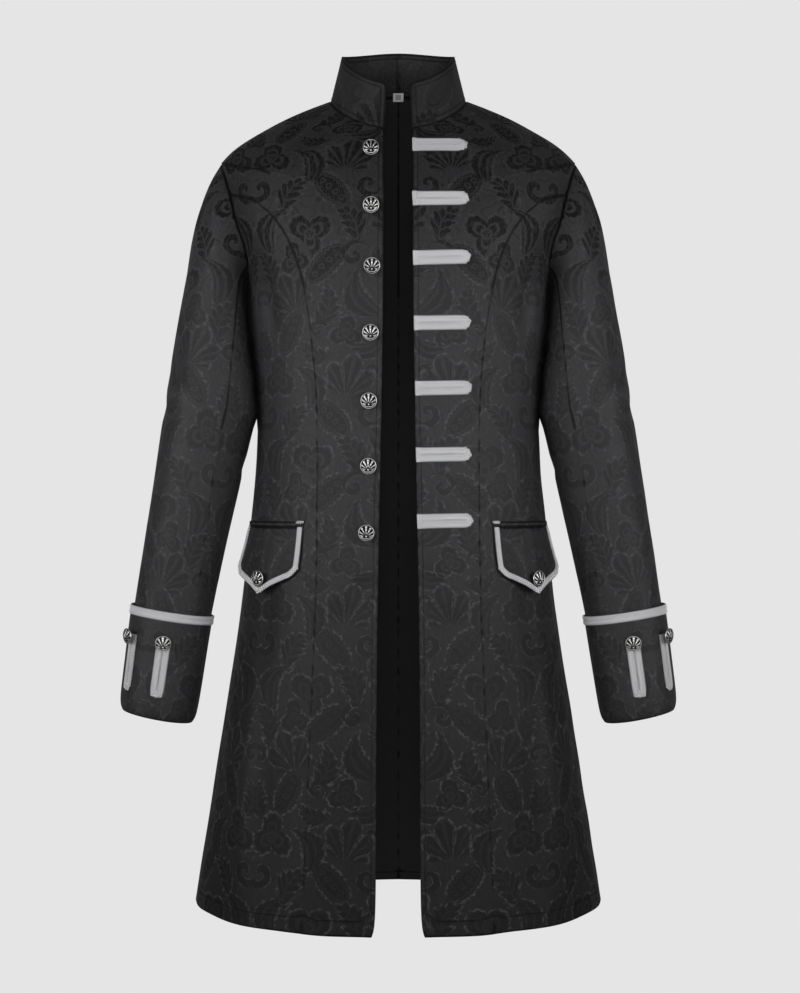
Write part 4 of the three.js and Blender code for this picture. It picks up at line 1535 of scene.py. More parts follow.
    def write_pattern(self, mesh: Mesh, placed: Placed) -> None:
        """Writes the UV map: metres round and metres up.

        Args:
            mesh: The piece's mesh.
            placed: Its points' places.
        """
        corners = np.empty(len(mesh.loops), dtype=int)
        mesh.loops.foreach_get("vertex_index", corners)
        around = placed.around[corners] + self.shift[0]
        up = placed.up[corners] + self.shift[1]
        if self.period:
            starts = np.empty(len(mesh.polygons), dtype=int)
            mesh.polygons.foreach_get("loop_start", starts)
            most = np.maximum.reduceat(around, starts)
            counts = np.diff(np.append(starts, len(corners)))
            behind = np.repeat(most, counts) - around > self.period / 2
            around = np.where(behind, around + self.period, around)
        layer = mesh.uv_layers.new(name=UV_NAME)
        layer.uv.foreach_set("vector", np.stack([around, up], axis=1).ravel())

    def write_edge(self, mesh: Mesh, points: Array) -> None:
        """Writes each point's distance from the sewn edges, the topstitched edge and the hem.

        Args:
            mesh: The piece's mesh.
            points: Its points.
        """
        self.write_distance(mesh, points, EDGE_NAME, self.rim)
        if self.topstitched is not None:
            self.write_distance(mesh, points, TOP_NAME, self.rim[self.topstitched(self.rim)])
        if self.hemmed:
            turns = np.arctan2(self.rim[:, 0], -self.rim[:, 1])
            sectors = np.round(turns * self.SECTORS).astype(int)
            tops = {sector: self.rim[sectors == sector, 2].min() + self.HEM_DEPTH for sector in set(sectors)}
            points_up = zip(self.rim[:, 2], sectors)
            low = np.array([height < min(tops[sector], HEM_TOP) for height, sector in points_up])
            self.write_distance(mesh, points, HEM_NAME, self.rim[low])

    def write_distance(self, mesh: Mesh, points: Array, name: str, marks: Array) -> None:
        """Writes each point's distance from the nearest of some marks.

        Args:
            mesh: The piece's mesh.
            points: Its points.
            name: The attribute's name.
            marks: The marks.
        """
        near = KDTree(len(marks))
        for index, mark in enumerate(marks):
            near.insert(mark, index)
        near.balance()
        apart = np.array([near.find(point)[2] for point in points], dtype=np.float32)
        mesh.attributes.new(name, "FLOAT", "POINT").data.foreach_set("value", apart)

    def paint(self, mesh: Mesh, placed: Placed) -> None:
        """Gives the outside and the inside their materials.

        Args:
            mesh: The piece's mesh.
            placed: Its points' places.
        """
        mesh.materials.clear()
        mesh.materials.append(self.outside)
        mesh.materials.append(self.inside)
        for polygon in mesh.polygons:
            outward = Vector(placed.outward[polygon.vertices[0]])
            polygon.material_index = 1 if polygon.normal.dot(outward) < self.INSIDE_FACE else 0

    def declare(self, mesh: Mesh, placed: Placed) -> None:
        """Args:
            mesh: Its mesh.
            placed: Its points' places.
        """
        width = float(np.ptp(placed.around)) if not self.period else self.period
        length = float(np.ptp(placed.up))
        surface = sum(polygon.area for polygon in mesh.polygons) / 2
        area = min(max(surface, self.LEAST_SHARE * width * length), width * length)
        flat = (round(max(width, self.LEAST_SIZE), 3), round(max(length, self.LEAST_SIZE), 3))
        area = min(area, flat[0] * flat[1])
        LOG.info("%s: flat %s surface %.5f", self.node, flat, surface)


def add_object(name: str, shell: Shell, material: Material, slot: Slot) -> Piece:
    """Turns a finished bmesh into a piece that rides with the coat.

    Args:
        name: The piece's name.
        shell: The mesh, which is freed.
        material: Its material.
        slot: Not used.

    Returns:
        The piece.
    """
    mesh = bpy.data.meshes.new(name)
    shell.to_mesh(mesh)
    shell.free()
    mesh.materials.clear()
    mesh.materials.append(material)
    mesh.shade_smooth()
    piece = bpy.data.objects.new(name, mesh)
    bpy.context.scene.collection.objects.link(piece)
    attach(piece, BODY)
    LOG.info("%s: %d faces", name, len(mesh.polygons))
    return piece


class Seat:
    """Finds places on finished cloth for what is sewn onto it."""

    ABOVE = 0.012
    NEAR = 0.02

    def __init__(self, *cloths: Piece) -> None:
        """Keeps the faces of the finished cloth pieces."""
        self.tree = tree_of(cloth.data for cloth in cloths)

    def trace(self, rays: Iterable[Place]) -> list[Place]:
        """The places that rays meet, in their order, without the rays that miss."""
        hits = (self.cast(*ray) for ray in rays)
        return [hit for hit in hits if hit is not None]

    def cast(self, origin: Vector, way: Vector) -> Place | None:
        """The first place that a ray meets.

        Args:
            origin: The ray's start.
            way: Its direction.

        Returns:
            The point and the cloth's normal, or None.
        """
        point, normal, _, _ = self.tree.ray_cast(origin, way.normalized())
        if point is None:
            return None
        return point, normal if normal.dot(way) < 0 else -normal

    def nearest(self, point: Vector, outward: Vector) -> Place:
        """The place nearest to a point that lies just outside the cloth.

        Args:
            point: The point.
            outward: The rough way out of the cloth.

        Returns:
            The point on the cloth and its normal.
        """
        hit = self.cast(point + outward * self.ABOVE, -outward)
        if hit is not None and (hit[0] - point).length < self.NEAR:
            return hit
        found, normal, _, _ = self.tree.find_nearest(point)
        return found, normal if normal.dot(outward) > 0 else -normal


@dataclass
class BraidStrip:
    """A length of plaited braid with picot edges, laid along a line on cloth."""

    half_width: float = 3.9 * MM
    thick: float = 1.5 * MM
    picot: float = 3.2 * MM
    plait: float = 3.2 * MM
    scallop: float = 0.3
    station: float = 0.4 * MM
    rib: float = 0.35

    SECTION = (
        (0.0, 0.0), (-0.9, 0.0), (-1.0, 0.35), (-0.93, 0.72), (-0.78, 0.97), (-0.55, 1.0), (-0.32, 0.93),
        (-0.12, 0.74), (0.0, 0.6), (0.12, 0.74), (0.32, 0.93), (0.55, 1.0), (0.78, 0.97), (0.93, 0.72),
        (1.0, 0.35), (0.9, 0.0), (0.0, 0.0),
    )

    def lay(self, shell: Shell, line: Sequence[Place], closed: bool = False) -> None:
        """Adds the braid to a mesh.

        Args:
            shell: The mesh that gets it.
            line: The points that the braid's middle follows, each with the cloth's normal.
            closed: Whether the line is a ring.
        """
        points = np.array([point[:] for point, _ in line])
        normals = np.array([normal[:] for _, normal in line])
        if closed:
            points = np.vstack([points, points[:1]])
            normals = np.vstack([normals, normals[:1]])
        marks = distances_along(points)
        count = max(4, round(marks[-1] / self.station))
        places = np.linspace(0, marks[-1], count + 1)
        middle = read_along(places, marks, points)
        up = read_along(places, marks, normals)
        up /= np.linalg.norm(up, axis=1, keepdims=True)
        ahead = np.gradient(middle, axis=0)
        if closed:
            ahead[0] = ahead[-1] = middle[1] - middle[-2]
        side = np.cross(up, ahead)
        side /= np.linalg.norm(side, axis=1, keepdims=True)
        columns = len(self.SECTION) - 1
        made = bmesh.ops.create_grid(shell, x_segments=count, y_segments=columns, size=1.0)
        scallops = 1 + self.scallop * (2 * np.abs(np.cos(np.pi * places / self.picot)) - 1.4)
        layer = shell.loops.layers.uv.get(UV_NAME) or shell.loops.layers.uv.new(UV_NAME)
        cells = {}
        for vertex in made["verts"]:
            row = round((vertex.co.x + 1) / 2 * count)
            column = round((vertex.co.y + 1) / 2 * columns)
            across, level = self.SECTION[column]
            edge = scallops[row] if abs(across) > 0.85 else 1.0
            slant = places[row] / self.plait + 0.8 * abs(((abs(across) + 0.5) % 1.0) - 0.5) * 2
            relief = 1 - self.rib * (0.5 - 0.5 * math.cos(2 * math.pi * slant)) if level > 0.5 else 1.0
            shift = across * edge * self.half_width * side[row] + level * relief * self.thick * up[row]
            cells[vertex] = (places[row], across)
            vertex.co = Vector(middle[row] + shift)
        for face in {face for vertex in made["verts"] for face in vertex.link_faces}:
            for loop in face.loops:
                loop[layer].uv = cells[loop.vert]
        bmesh.ops.remove_doubles(shell, verts=list(cells), dist=TRIM_WELD)
        rims = [edge for edge in shell.edges if edge.is_boundary]
        if rims:
            bmesh.ops.holes_fill(shell, edges=rims, sides=0)


def soft_corners(points: Sequence[tuple[float, float]], steps: int = 8) -> list[tuple[float, float]]:
    """Rounds a line's corners with quadratic curves between the middles of its stretches.

    Args:
        points: The line's corners.
        steps: Points on each curve.

    Returns:
        The rounded line.
    """
    made = [points[0]]
    corners = [np.array(point) for point in points]
    for before, corner, after in zip(corners, corners[1:], corners[2:]):
        start, end = (before + corner) / 2, (corner + after) / 2
        for t in np.linspace(0, 1, steps):
            made.append(tuple((1 - t) ** 2 * start + 2 * t * (1 - t) * corner + t**2 * end))
    made.append(points[-1])
    return made


@dataclass
class HairpinTab:
    """A tab of braid that runs out, turns at its end and comes back beside itself."""

    node: str
    seat: Seat
    finishes: Finishes
    pointed: bool = True
    folded_start: bool = True
    cord: float = 4.05 * MM
    lift: float = 0.0
    tilt: float = 0.0

    STEEPEST = 0.7
    GAP = 0.15 * MM

    def frame_of(self) -> tuple[Vector, Vector, Vector, float]:
        """The tab's start, the way along it, the way out of the cloth and its length, from its solid.

        Returns:
            Those four.
        """
        points = corner_points(self.node)
        middle = points.mean(axis=0)
        _, _, ways = np.linalg.svd(points - middle)
        along, out = Vector(ways[0]), Vector(ways[2])
        radial = Vector((middle[0], middle[1], 0)) if self.pointed else self.from_arm(middle)
        if out.dot(radial) < 0:
            out.negate()
        wide = self.width_at(points, middle, ways, 1) > self.width_at(points, middle, ways, -1)
        if wide:
            along.negate()
        reach = (points - middle) @ np.array(along)
        return Vector(middle) + along * reach.min(), along, out, float(np.ptp(reach))

    def front_share(self, out: Vector) -> float:
        """How much wider a tab is cut where the chest slopes back, so that all look alike from the front."""
        return 1 / max(math.hypot(out.x, out.y), self.STEEPEST)

    def from_arm(self, middle: Array) -> Vector:
        """The way from the middle of the sleeve to a point."""
        hand = Hand.LEFT if middle[0] > 0 else Hand.RIGHT
        return Vector(SleeveWrap(hand).place(middle[None, :]).outward[0])

    def width_at(self, points: Array, middle: Array, ways: Array, sign: int) -> float:
        """The solid's width at one end.

        Args:
            points: Its points.
            middle: Their mean.
            ways: Its axes, the long one first.
            sign: Which end.

        Returns:
            The width.
        """
        reach = sign * (points - middle) @ ways[0]
        end = points[reach > reach.max() - MM]
        return float(np.ptp(end @ ways[1]))

    def build(self) -> Piece:
        """Builds the tab.

        Returns:
            The piece.
        """
        start, along, out, length = self.frame_of()
        start.z += self.lift * MM
        along = (along + Vector((0, 0, self.tilt))).normalized()
        side = out.cross(along)
        c = self.cord * (self.front_share(out) if self.pointed else 1.0)
        tip = length - c * (0.55 if self.pointed else 1.1)
        if self.pointed:
            corner, shoulder = tip - 1.05 * c, tip - 1.65 * c
            turn = [(shoulder, c), (corner, c), (tip, 0.0), (corner, -c), (shoulder, -c)]
        else:
            corner = tip - c * 0.3
            turn = [(corner, c), (tip, c * 0.5), (tip, -c * 0.5), (corner, -c)]
        outline = soft_corners([(0.0, c), (length / 2, c), *turn, (length / 2, -c), (0.0, -c)])
        shell = bmesh.new()
        line = [self.seat.nearest(start + along * s + side * t, out) for s, t in outline]
        BraidStrip(half_width=c - self.GAP).lay(shell, line)
        if self.folded_start:
            fold = [(2.2 * MM, t) for t in np.linspace(-2.1 * c, 2.1 * c, 9)]
            line = [self.seat.nearest(start + along * s + side * t, out) for s, t in fold]
            BraidStrip(half_width=2.3 * MM, thick=2.1 * MM).lay(shell, line)
        piece = add_object(f"braid_{self.node}", shell, self.finishes.braid, Slot.BRAID)
        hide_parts(self.node)
        return piece


@dataclass
class ShankButton:
    """A domed button with a palmette of petals that springs from a point low on its face."""

    finishes: Finishes
    radius: float = 9.4 * MM
    petals: int = 13
    foot_drop: float = 0.45
    rings: int = 30
    sides: int = 96
    relief_height: float = 1.0 * MM

    RIM = 0.93
    GROOVE = 0.86
    RIM_LEVEL = 0.85
    BOSS = 0.17
    BACK_LEVEL = 0.25
    FRONT_HALF = 0.05
    ON_SLEEVE = 0.2

    def relief(self, x: float, y: float) -> float:
        """How far a point of the face is raised, from 0 to 1.

        Args:
            x: Its place across, as a share of the radius.
            y: Its place up, as a share of the radius.

        Returns:
            The raise.
        """
        r = math.hypot(x, y)
        if r > self.RIM:
            return self.RIM_LEVEL
        if r > self.GROOVE:
            return 0.0
        above = y + self.foot_drop
        reach = math.hypot(x, above)
        turn = math.atan2(x, above)
        boss = max(0.0, 1 - (reach / self.BOSS) ** 2)
        if above < -0.02:
            curl = 0.5 + 0.5 * math.cos(16 * reach - 9 * abs(x) + 2.0)
            return max(boss, 0.9 * curl**1.5)
        petal = abs(math.cos(turn * self.petals / 2)) ** 1.6
        veined = 0.88 + 0.12 * math.cos(15 * reach + 4 * abs(turn))
        return min(1.0, max(boss, petal * veined * min(1.0, 0.3 + 1.6 * reach)))

    def build(self, name: str, slide: Callable[[Array], Array] | None = None) -> Piece:
        """Builds the button that stands where its solid stands.

        Args:
            name: The CAD node.
            slide: Moves its points, where the cloth that it is sewn to has moved.

        Returns:
            The piece.
        """
        points = corner_points(name)
        if slide is not None:
            points = points + (slide(points.mean(axis=0)[None, :]) - points.mean(axis=0))
        middle = points.mean(axis=0)
        _, _, ways = np.linalg.svd(points - middle)
        spans = [np.ptp(points @ way) for way in ways]
        axis = Vector(ways[int(np.argmin(spans))])
        if axis.dot(self.outward(middle)) < 0:
            axis.negate()
        level = (points - middle) @ np.array(axis)
        foot = Vector(middle) + axis * float(level.min())
        if abs(middle[0]) < self.FRONT_HALF:
            axis = Vector((axis.x, axis.y, 0.3 * axis.z)).normalized()
        upright = Vector((0, 0, 1)) - axis * axis.z
        upright.normalize()
        across = upright.cross(axis)
        turn = Matrix((across, upright, axis)).transposed().to_4x4()
        shell = self.shape(float(np.ptp(level)))
        bmesh.ops.transform(shell, matrix=Matrix.Translation(foot) @ turn, verts=shell.verts)
        piece = add_object(f"metal_{name}", shell, self.finishes.metal, Slot.METAL)
        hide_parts(name)
        return piece

    def outward(self, middle: Array) -> Vector:
        """The rough way out of the coat at a button."""
        hand = Hand.LEFT if middle[0] > 0 else Hand.RIGHT
        if abs(middle[0]) > self.ON_SLEEVE:
            return Vector(SleeveWrap(hand).place(middle[None, :]).outward[0])
        return Vector((middle[0], middle[1], 0))

    def shape(self, height: float) -> Shell:
        """The button standing on its foot: a profile spun round, with its face raised into petals.

        Args:
            height: From its foot to the top of its dome.

        Returns:
            The mesh.
        """
        shell = bmesh.new()
        dome_low = 0.6 * height
        crown = height - self.relief_height
        tall = height / MM
        back = [(0.0, 0.0), (2.0, 0.0), (2.1, 0.42 * tall), (6.5, 0.45 * tall), (8.9, 0.5 * tall)]
        profile = [Vector((r * MM, 0.0, z * MM)) for r, z in back]
        for k in range(self.rings + 1):
            share = 1 - k / self.rings
            rise = crown - (crown - dome_low) * share**2.3
            profile.append(Vector((self.radius * share, 0.0, rise)))
        verts = [shell.verts.new(point) for point in profile]
        edges = [shell.edges.new(pair) for pair in zip(verts, verts[1:])]
        bmesh.ops.spin(
            shell,
            geom=[*verts, *edges],
            cent=(0, 0, 0),
            axis=(0, 0, 1),
            angle=2 * math.pi,
            steps=self.sides,
            use_merge=True,
        )
        bmesh.ops.remove_doubles(shell, verts=shell.verts, dist=TRIM_WELD)
        layer = shell.verts.layers.float.new(RAISED_NAME)
        for vertex in shell.verts:
            if vertex.co.z < dome_low - 0.1 * MM:
                vertex[layer] = self.BACK_LEVEL
                continue
            raised = self.relief(vertex.co.x / self.radius, vertex.co.y / self.radius)
            vertex[layer] = raised
            vertex.co.z += self.relief_height * raised
        bmesh.ops.recalc_face_normals(shell, faces=shell.faces)
        return shell


@dataclass
class Stitching:
    """Rows of small stitches on finished cloth."""

    finishes: Finishes
    length: float = 2.3 * MM
    gap: float = 0.9 * MM
    thick: float = 0.32 * MM
    proud: float = 0.02 * MM

    def sew(self, shell: Shell, line: Sequence[Place]) -> None:
        """Adds a row of stitches to a mesh.

        Args:
            shell: The mesh that gets them.
            line: The points that the row follows, each with the cloth's normal.
        """
        if len(line) < 2:
            return
        points = np.array([point[:] for point, _ in line])
        normals = np.array([normal[:] for _, normal in line])
        marks = distances_along(points)
        places = np.arange(self.length, marks[-1] - self.length / 2, self.length + self.gap)
        starts = read_along(places - MM, marks, points)
        ends = read_along(places + MM, marks, points)
        for start, end, out in zip(starts, ends, read_along(places, marks, normals)):
            normal = Vector(out).normalized()
            ahead = Vector(end - start).normalized()
            side = normal.cross(ahead).normalized()
            turn = Matrix((ahead, side, ahead.cross(side))).transposed().to_4x4()
            size = Matrix.Diagonal((self.length / 2, self.thick, self.thick, 1.0))
            middle = Matrix.Translation(Vector(start + end) / 2 + normal * self.proud)
            bmesh.ops.create_icosphere(shell, subdivisions=1, radius=1.0, matrix=middle @ turn @ size)

    def finish(self, name: str, lines: Iterable[Sequence[Place]]) -> Piece:
        """Sews several rows as one piece.

        Args:
            name: The piece's name.
            lines: The rows.

        Returns:
            The piece.
        """
        shell = bmesh.new()
        for line in lines:
            self.sew(shell, line)
        return add_object(name, shell, self.finishes.thread, Slot.DAMASK)


@dataclass
class Body:
    """The body panels, with their lining."""

    finishes: Finishes
    wrap: BodyWrap

    UNDER_ARM = (
        Crease(243, -195, 243, -405, 48, 5.5),
        Crease(243, -200, 243, -300, 42, 3.5),
    )
    RIGHT_FRONT = (
        *UNDER_ARM,
        Crease(184, -680, 200, -960, 16, 3.2),
        Crease(156, -770, 164, -870, 12, -2.8),
        Crease(118, -800, 124, -965, 13, 2.0),
        Crease(152, -550, 170, -690, 13, -1.8),
        Crease(57, -587, 24, -569, 8, -2.6),
        Crease(62, -577, 30, -558, 7, 1.4),
        Crease(82, -619, 50, -603, 9, -2.1),
        Crease(66, -764, 30, -744, 7, 2.2),
        Crease(72, -751, 28, -728, 8, -2.4),
        Crease(178, -228, 168, -300, 9, 1.9),
        Crease(168, -222, 150, -292, 10, -2.2),
        Crease(60, -58, 112, -92, 8, 2.1),
        Crease(70, -50, 124, -74, 8, -1.9),
    )
    LEFT_FRONT = (
        *UNDER_ARM,
        Crease(186, -690, 204, -955, 17, 3.0),
        Crease(158, -760, 166, -880, 12, -2.6),
        Crease(120, -820, 128, -960, 14, 1.8),
        Crease(150, -560, 172, -700, 13, -1.6),
        Crease(52, -580, 22, -560, 8, -2.1),
        Crease(74, -628, 44, -606, 9, -2.2),
        Crease(60, -742, 26, -720, 8, -2.1),
        Crease(58, -756, 24, -738, 7, 1.9),
        Crease(176, -232, 170, -306, 9, 2.1),
        Crease(165, -226, 152, -286, 10, -2.1),
        Crease(58, -60, 110, -90, 8, 1.9),
        Crease(70, -48, 122, -76, 8, -1.8),
    )
    BACK = (
        Crease(40, -395, 150, -430, 14, -2.9),
        Crease(30, -425, 130, -452, 13, 2.4),
        Crease(150, -240, 120, -330, 14, -2.9),
        Crease(165, -250, 142, -340, 12, 2.4),
        Crease(30, -60, 110, -100, 12, 1.9),
        Crease(60, -560, 70, -720, 15, 2.6),
    )

    LEVELS = 50
    EDGE_WIDTH = 3 * MM
    CORNER_HEIGHT = 8 * MM
    EDGE_REACH = 0.04

    def build(self) -> dict[str, Piece]:
        """Builds the panels and the lining.

        Returns:
            The pieces by their solids' names.
        """
        made = {}
        for hand in Hand:
            front = self.LEFT_FRONT if hand is Hand.LEFT else self.RIGHT_FRONT
            for part, anchor, creases in (
                ("front", Anchor.CENTRE_FRONT, front),
                ("side_front", Anchor.CENTRE_FRONT, front),
                ("back", Anchor.CENTRE_BACK, self.BACK),
                ("side_back", Anchor.CENTRE_BACK, self.BACK),
            ):
                name = f"{part}_{hand.suffix}"
                made[name] = self.panel(name, anchor, self.turned(creases, hand), hand)
            name = f"back_lining_{hand.suffix}"
            made[name] = self.lining(name, self.turned(self.BACK, hand))
        return made

    def turned(self, creases: Iterable[Crease], hand: Hand) -> tuple[Crease, ...]:
        """The creases of one hand.

        Args:
            creases: Creases with distances round on the wearer's left.
            hand: The hand that gets them.

        Returns:
            The creases with that hand's sign.
        """
        sign = hand.value
        return tuple(replace(c, from_around=sign * c.from_around, to_around=sign * c.to_around) for c in creases)

    def panel(self, name: str, anchor: Anchor, creases: tuple[Crease, ...], hand: Hand) -> Piece:
        """Builds one panel.

        Args:
            name: The CAD node.
            anchor: Where its pattern starts.
            creases: Its creases.
            hand: The wearer's left or right.

        Returns:
            The piece.
        """
        return Cloth(
            node=name,
            place=lambda points: self.wrap.place(points, anchor),
            outside=self.finishes.damask,
            inside=self.finishes.lining,
            creases=creases,
            topstitched=self.front_edge if name.startswith("front") else None,
            hemmed=True,
            ease=0.7,
            seed=5 + hand.value,
        ).build()

    def front_edge(self, rim: Array) -> Array:
        """Picks the points of a panel's rim that lie on its front edge."""
        heights = np.round(rim[:, 2] * self.LEVELS).astype(int)
        first = {height: np.abs(rim[heights == height, 0]).min() for height in set(heights)}
        near = np.array([abs(x) < first[height] + self.EDGE_WIDTH for x, height in zip(rim[:, 0], heights)])
        above = rim[:, 2] > rim[:, 2].min() + self.CORNER_HEIGHT
        return near & above & (np.abs(rim[:, 0]) < self.EDGE_REACH)

    def lining(self, name: str, creases: tuple[Crease, ...]) -> Piece:
        """Builds one half of the back's lining.

        Args:
            name: The CAD node.
            creases: Its creases.

        Returns:
            The piece.
        """
        return Cloth(
            node=name,
            place=lambda points: self.wrap.place(points, Anchor.CENTRE_BACK),
            outside=self.finishes.lining,
            inside=self.finishes.lining,
            creases=creases,
            slot=Slot.LINING,
            edge=0.3,
            seam=0.5,
            seed=5 + (1 if name.endswith("L") else -1),
        ).build()


@dataclass
class Sleeves:
    """The two-piece sleeves and their turned-back cuffs."""

    finishes: Finishes

    TOP = (
        Crease(10, -330, 70, -352, 10, -2.6),
        Crease(20, -345, 85, -372, 9, 2.2),
        Crease(-30, -360, 40, -385, 11, -2.4),
        Crease(40, -418, 88, -440, 9, 1.9),
        Crease(-60, -300, 0, -318, 11, 2.1),
        Crease(30, -128, 62, -250, 13, 2.6),
        Crease(-40, -130, -70, -240, 13, 2.4),
        Crease(20, -520, 70, -535, 9, 1.6),
    )
    UNDER = (
        Crease(150, -300, 230, -330, 10, -2.6),
        Crease(150, -370, 235, -392, 10, 2.4),
        Crease(160, -440, 220, -452, 9, -2.1),
    )

    def build(self) -> dict[str, Piece]:
        """Builds the sleeves and cuffs.

        Returns:
            The pieces by their solids' names.
        """
        made = {}
        for hand in Hand:
            for part, turn, creases in (("sleeve_top", 0.0, self.TOP), ("sleeve_under", 190.0, self.UNDER)):
                name = f"{part}_{hand.suffix}"
                made[name] = Cloth(
                    node=name,
                    place=SleeveWrap(hand, middle_turn=turn).place,
                    outside=self.finishes.sleeve_damask,
                    inside=self.finishes.lining,
                    creases=creases,
                    shift=(0.05, 0.1),
                    ease=0.6,
                    seed=11 + hand.value,
                ).build()
            name = f"cuff_{hand.suffix}"
            wrap = SleeveWrap(hand, middle_turn=90.0, upper_radius=0.0535, lower_radius=0.0535)
            made[name] = Cloth(
                node=name,
                place=wrap.place,
                outside=self.finishes.sleeve_damask,
                inside=self.finishes.lining,
                shift=(0.11, 0.04),
                ease=0.3,
                period=2 * math.pi * wrap.lower_radius,
                seed=17 + hand.value,
            ).build()
        return made


@dataclass
class Pockets:
    """The pocket flaps with their welts, braid and buttons."""

    finishes: Finishes
    wrap: BodyWrap
    drawn_back: float = 19 * MM
    over_welt: float = 6 * MM
    bend_radius: float = 0.13
    near_top: float = 4 * MM
    half_braid: float = 3.1 * MM
    margin: float = 0.3 * MM

    def draw_back(self, points: Array) -> Array:
        """Draws a flap's front edge back along the body; its side edge stays.

        Args:
            points: Points on or near a flap.

        Returns:
            Their new places.
        """
        placed = self.wrap.place(points)
        edges = np.abs(self.wrap.place(corner_points("flap_L")).around)
        share = np.clip((edges.max() - np.abs(placed.around)) / np.ptp(edges), 0, 1.2)
        hand = np.sign(points[:, :1])
        along = np.stack([-placed.outward[:, 1], placed.outward[:, 0], np.zeros(len(points))], axis=1) * hand
        run = (share * self.drawn_back)[:, None]
        return points + along * run - placed.outward * run**2 / (2 * self.bend_radius)

    def build(self) -> dict[str, Piece]:
        """Builds both pockets' cloth and braid.

        Returns:
            The cloth pieces by their solids' names.
        """
        made = {}
        for hand in Hand:
            for part in ("flap", "flap_welt"):
                name = f"{part}_{hand.suffix}"
                made[name] = Cloth(
                    node=name,
                    place=self.wrap.place,
                    outside=self.finishes.damask,
                    inside=self.finishes.lining,
                    ease=0.25,
                    edge=0.7,
                    slide=self.draw_back,
                    seed=23 + hand.value,
                ).build()
            self.braid(hand, made[f"flap_{hand.suffix}"])
        return made

    def outline(self, name: str) -> list[Vector]:
        """The flap's outer edge from its front top corner round to its side top corner, from its solid.

        Args:
            name: The CAD node.

        Returns:
            The points of the edge.
        """
        shell = node_mesh(name)
        shell.normal_update()
        chosen = set()
        for face in shell.faces:
            x, y, _ = face.calc_center_median()
            if face.normal.dot(Vector((x, y, 0)).normalized()) > 0.5:
                chosen.add(face)
        rim = [edge for edge in shell.edges if sum(face in chosen for face in edge.link_faces) == 1]
        links: dict[bmesh.types.BMVert, list[bmesh.types.BMVert]] = {}
        for edge in rim:
            for one, other in (edge.verts, reversed(edge.verts)):
                links.setdefault(one, []).append(other)
        top = max(vertex.co.z for vertex in links)
        upper = [vertex for vertex in links if vertex.co.z > top - self.near_top]
        start = min(upper, key=lambda vertex: abs(vertex.co.x))
        below = [vertex for vertex in links[start] if vertex.co.z < start.co.z - self.near_top]
        path = [start, below[0]]
        while path[-1].co.z < top - self.near_top:
            ahead = [vertex for vertex in links[path[-1]] if vertex is not path[-2]]
            path.append(ahead[0])
        points = np.array([vertex.co[:] for vertex in path])
        shell.free()
        return [Vector(point) for point in self.draw_back(points)]

    def braid(self, hand: Hand, flap: Piece) -> Piece:
        """Lays the braid round a flap.

        Args:
            hand: The wearer's left or right.
            flap: The finished flap.

        Returns:
            The braid.
        """
        half = self.half_braid
        edge = self.outline(f"flap_{hand.suffix}")
        seat = Seat(flap)
        line = []
        for index, point in enumerate(edge):
            out = self.way_out(point)
            ahead = edge[min(index + 1, len(edge) - 1)] - edge[max(index - 1, 0)]
            inward = out.cross(ahead).normalized() * (half + self.margin) * hand.value
            line.append(seat.nearest(point + inward, out))
        first, out = line[0]
        line.insert(0, (first + (first - line[1][0]).normalized() * self.over_welt + out * 0.8 * MM, out))
        shell = bmesh.new()
        BraidStrip(half_width=half, thick=1.5 * MM).lay(shell, line)
        start, out = line[0]
        ahead = (line[1][0] - start).normalized()
        side = out.cross(ahead).normalized()
        fold = [(start + ahead * 1.6 * MM + side * t * half * 1.35, out) for t in np.linspace(-1, 1, 7)]
        BraidStrip(half_width=2.2 * MM, thick=2.0 * MM).lay(shell, fold)
        piece = add_object(f"braid_flap_{hand.suffix}", shell, self.finishes.braid, Slot.BRAID)
        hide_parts(f"flap_braid_{hand.suffix}")
        return piece

    def way_out(self, point: Vector) -> Vector:
        """The way out of the body at a point."""
        return Vector(self.wrap.place(np.array([point[:]])).outward[0])


@dataclass
class Neck:
    """The stand collar and the label inside it."""

    finishes: Finishes

    def build(self) -> dict[str, Piece]:
        """Builds the collar and the label.

        Returns:
            The collar by its solid's name.
        """
        collar = Cloth(
            node="collar",
            place=CollarWrap().place,
            outside=self.finishes.damask,
            inside=self.finishes.damask,
            creases=(Crease(30, 8, 60, 40, 9, 0.5), Crease(-30, 6, -64, 38, 9, 0.5)),
            shift=(0.02, 0.06),
            ease=0.3,
            edge=0.9,
            seam=0.9,
            held="draped",
            topstitched=lambda rim: np.full(len(rim), True),
            seed=31,
        ).build()
        self.label()
        return {"collar": collar}

    def label(self) -> Piece:
        """Builds the label: a small soft rectangle with turned edges.

        Returns:
            The piece.
        """
        curl = 0.3 * MM
        low, high = (Vector(corner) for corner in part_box("label"))
        middle, half = (low + high) / 2, (high - low) / 2
        shell = bmesh.new()
        made = bmesh.ops.create_cube(shell, size=2.0)
        bmesh.ops.scale(shell, vec=half, verts=made["verts"])
        bmesh.ops.bevel(
            shell,
            geom=list(shell.edges),
            offset=0.25 * MM,
            segments=2,
            profile=0.5,
            affect="EDGES",
            clamp_overlap=True,
            material=-1,
        )
        long_edges = [edge for edge in shell.edges if edge.calc_length() > 2 * MM]
        bmesh.ops.subdivide_edges(shell, edges=long_edges, cuts=5, use_grid_fill=True)
        layer = shell.loops.layers.uv.new(UV_NAME)
        for face in shell.faces:
            for loop in face.loops:
                point = loop.vert.co
                loop[layer].uv = ((point.x / half.x + 1) / 2, (point.z / half.z + 1) / 2)
        for vertex in shell.verts:
            vertex.co.y += curl * math.sin(vertex.co.x * 900) + curl * (vertex.co.z / half.z)
        bmesh.ops.translate(shell, vec=middle, verts=shell.verts)
        piece = add_object("blank_label", shell, self.finishes.label, Slot.LABEL)
        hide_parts("label")
        return piece


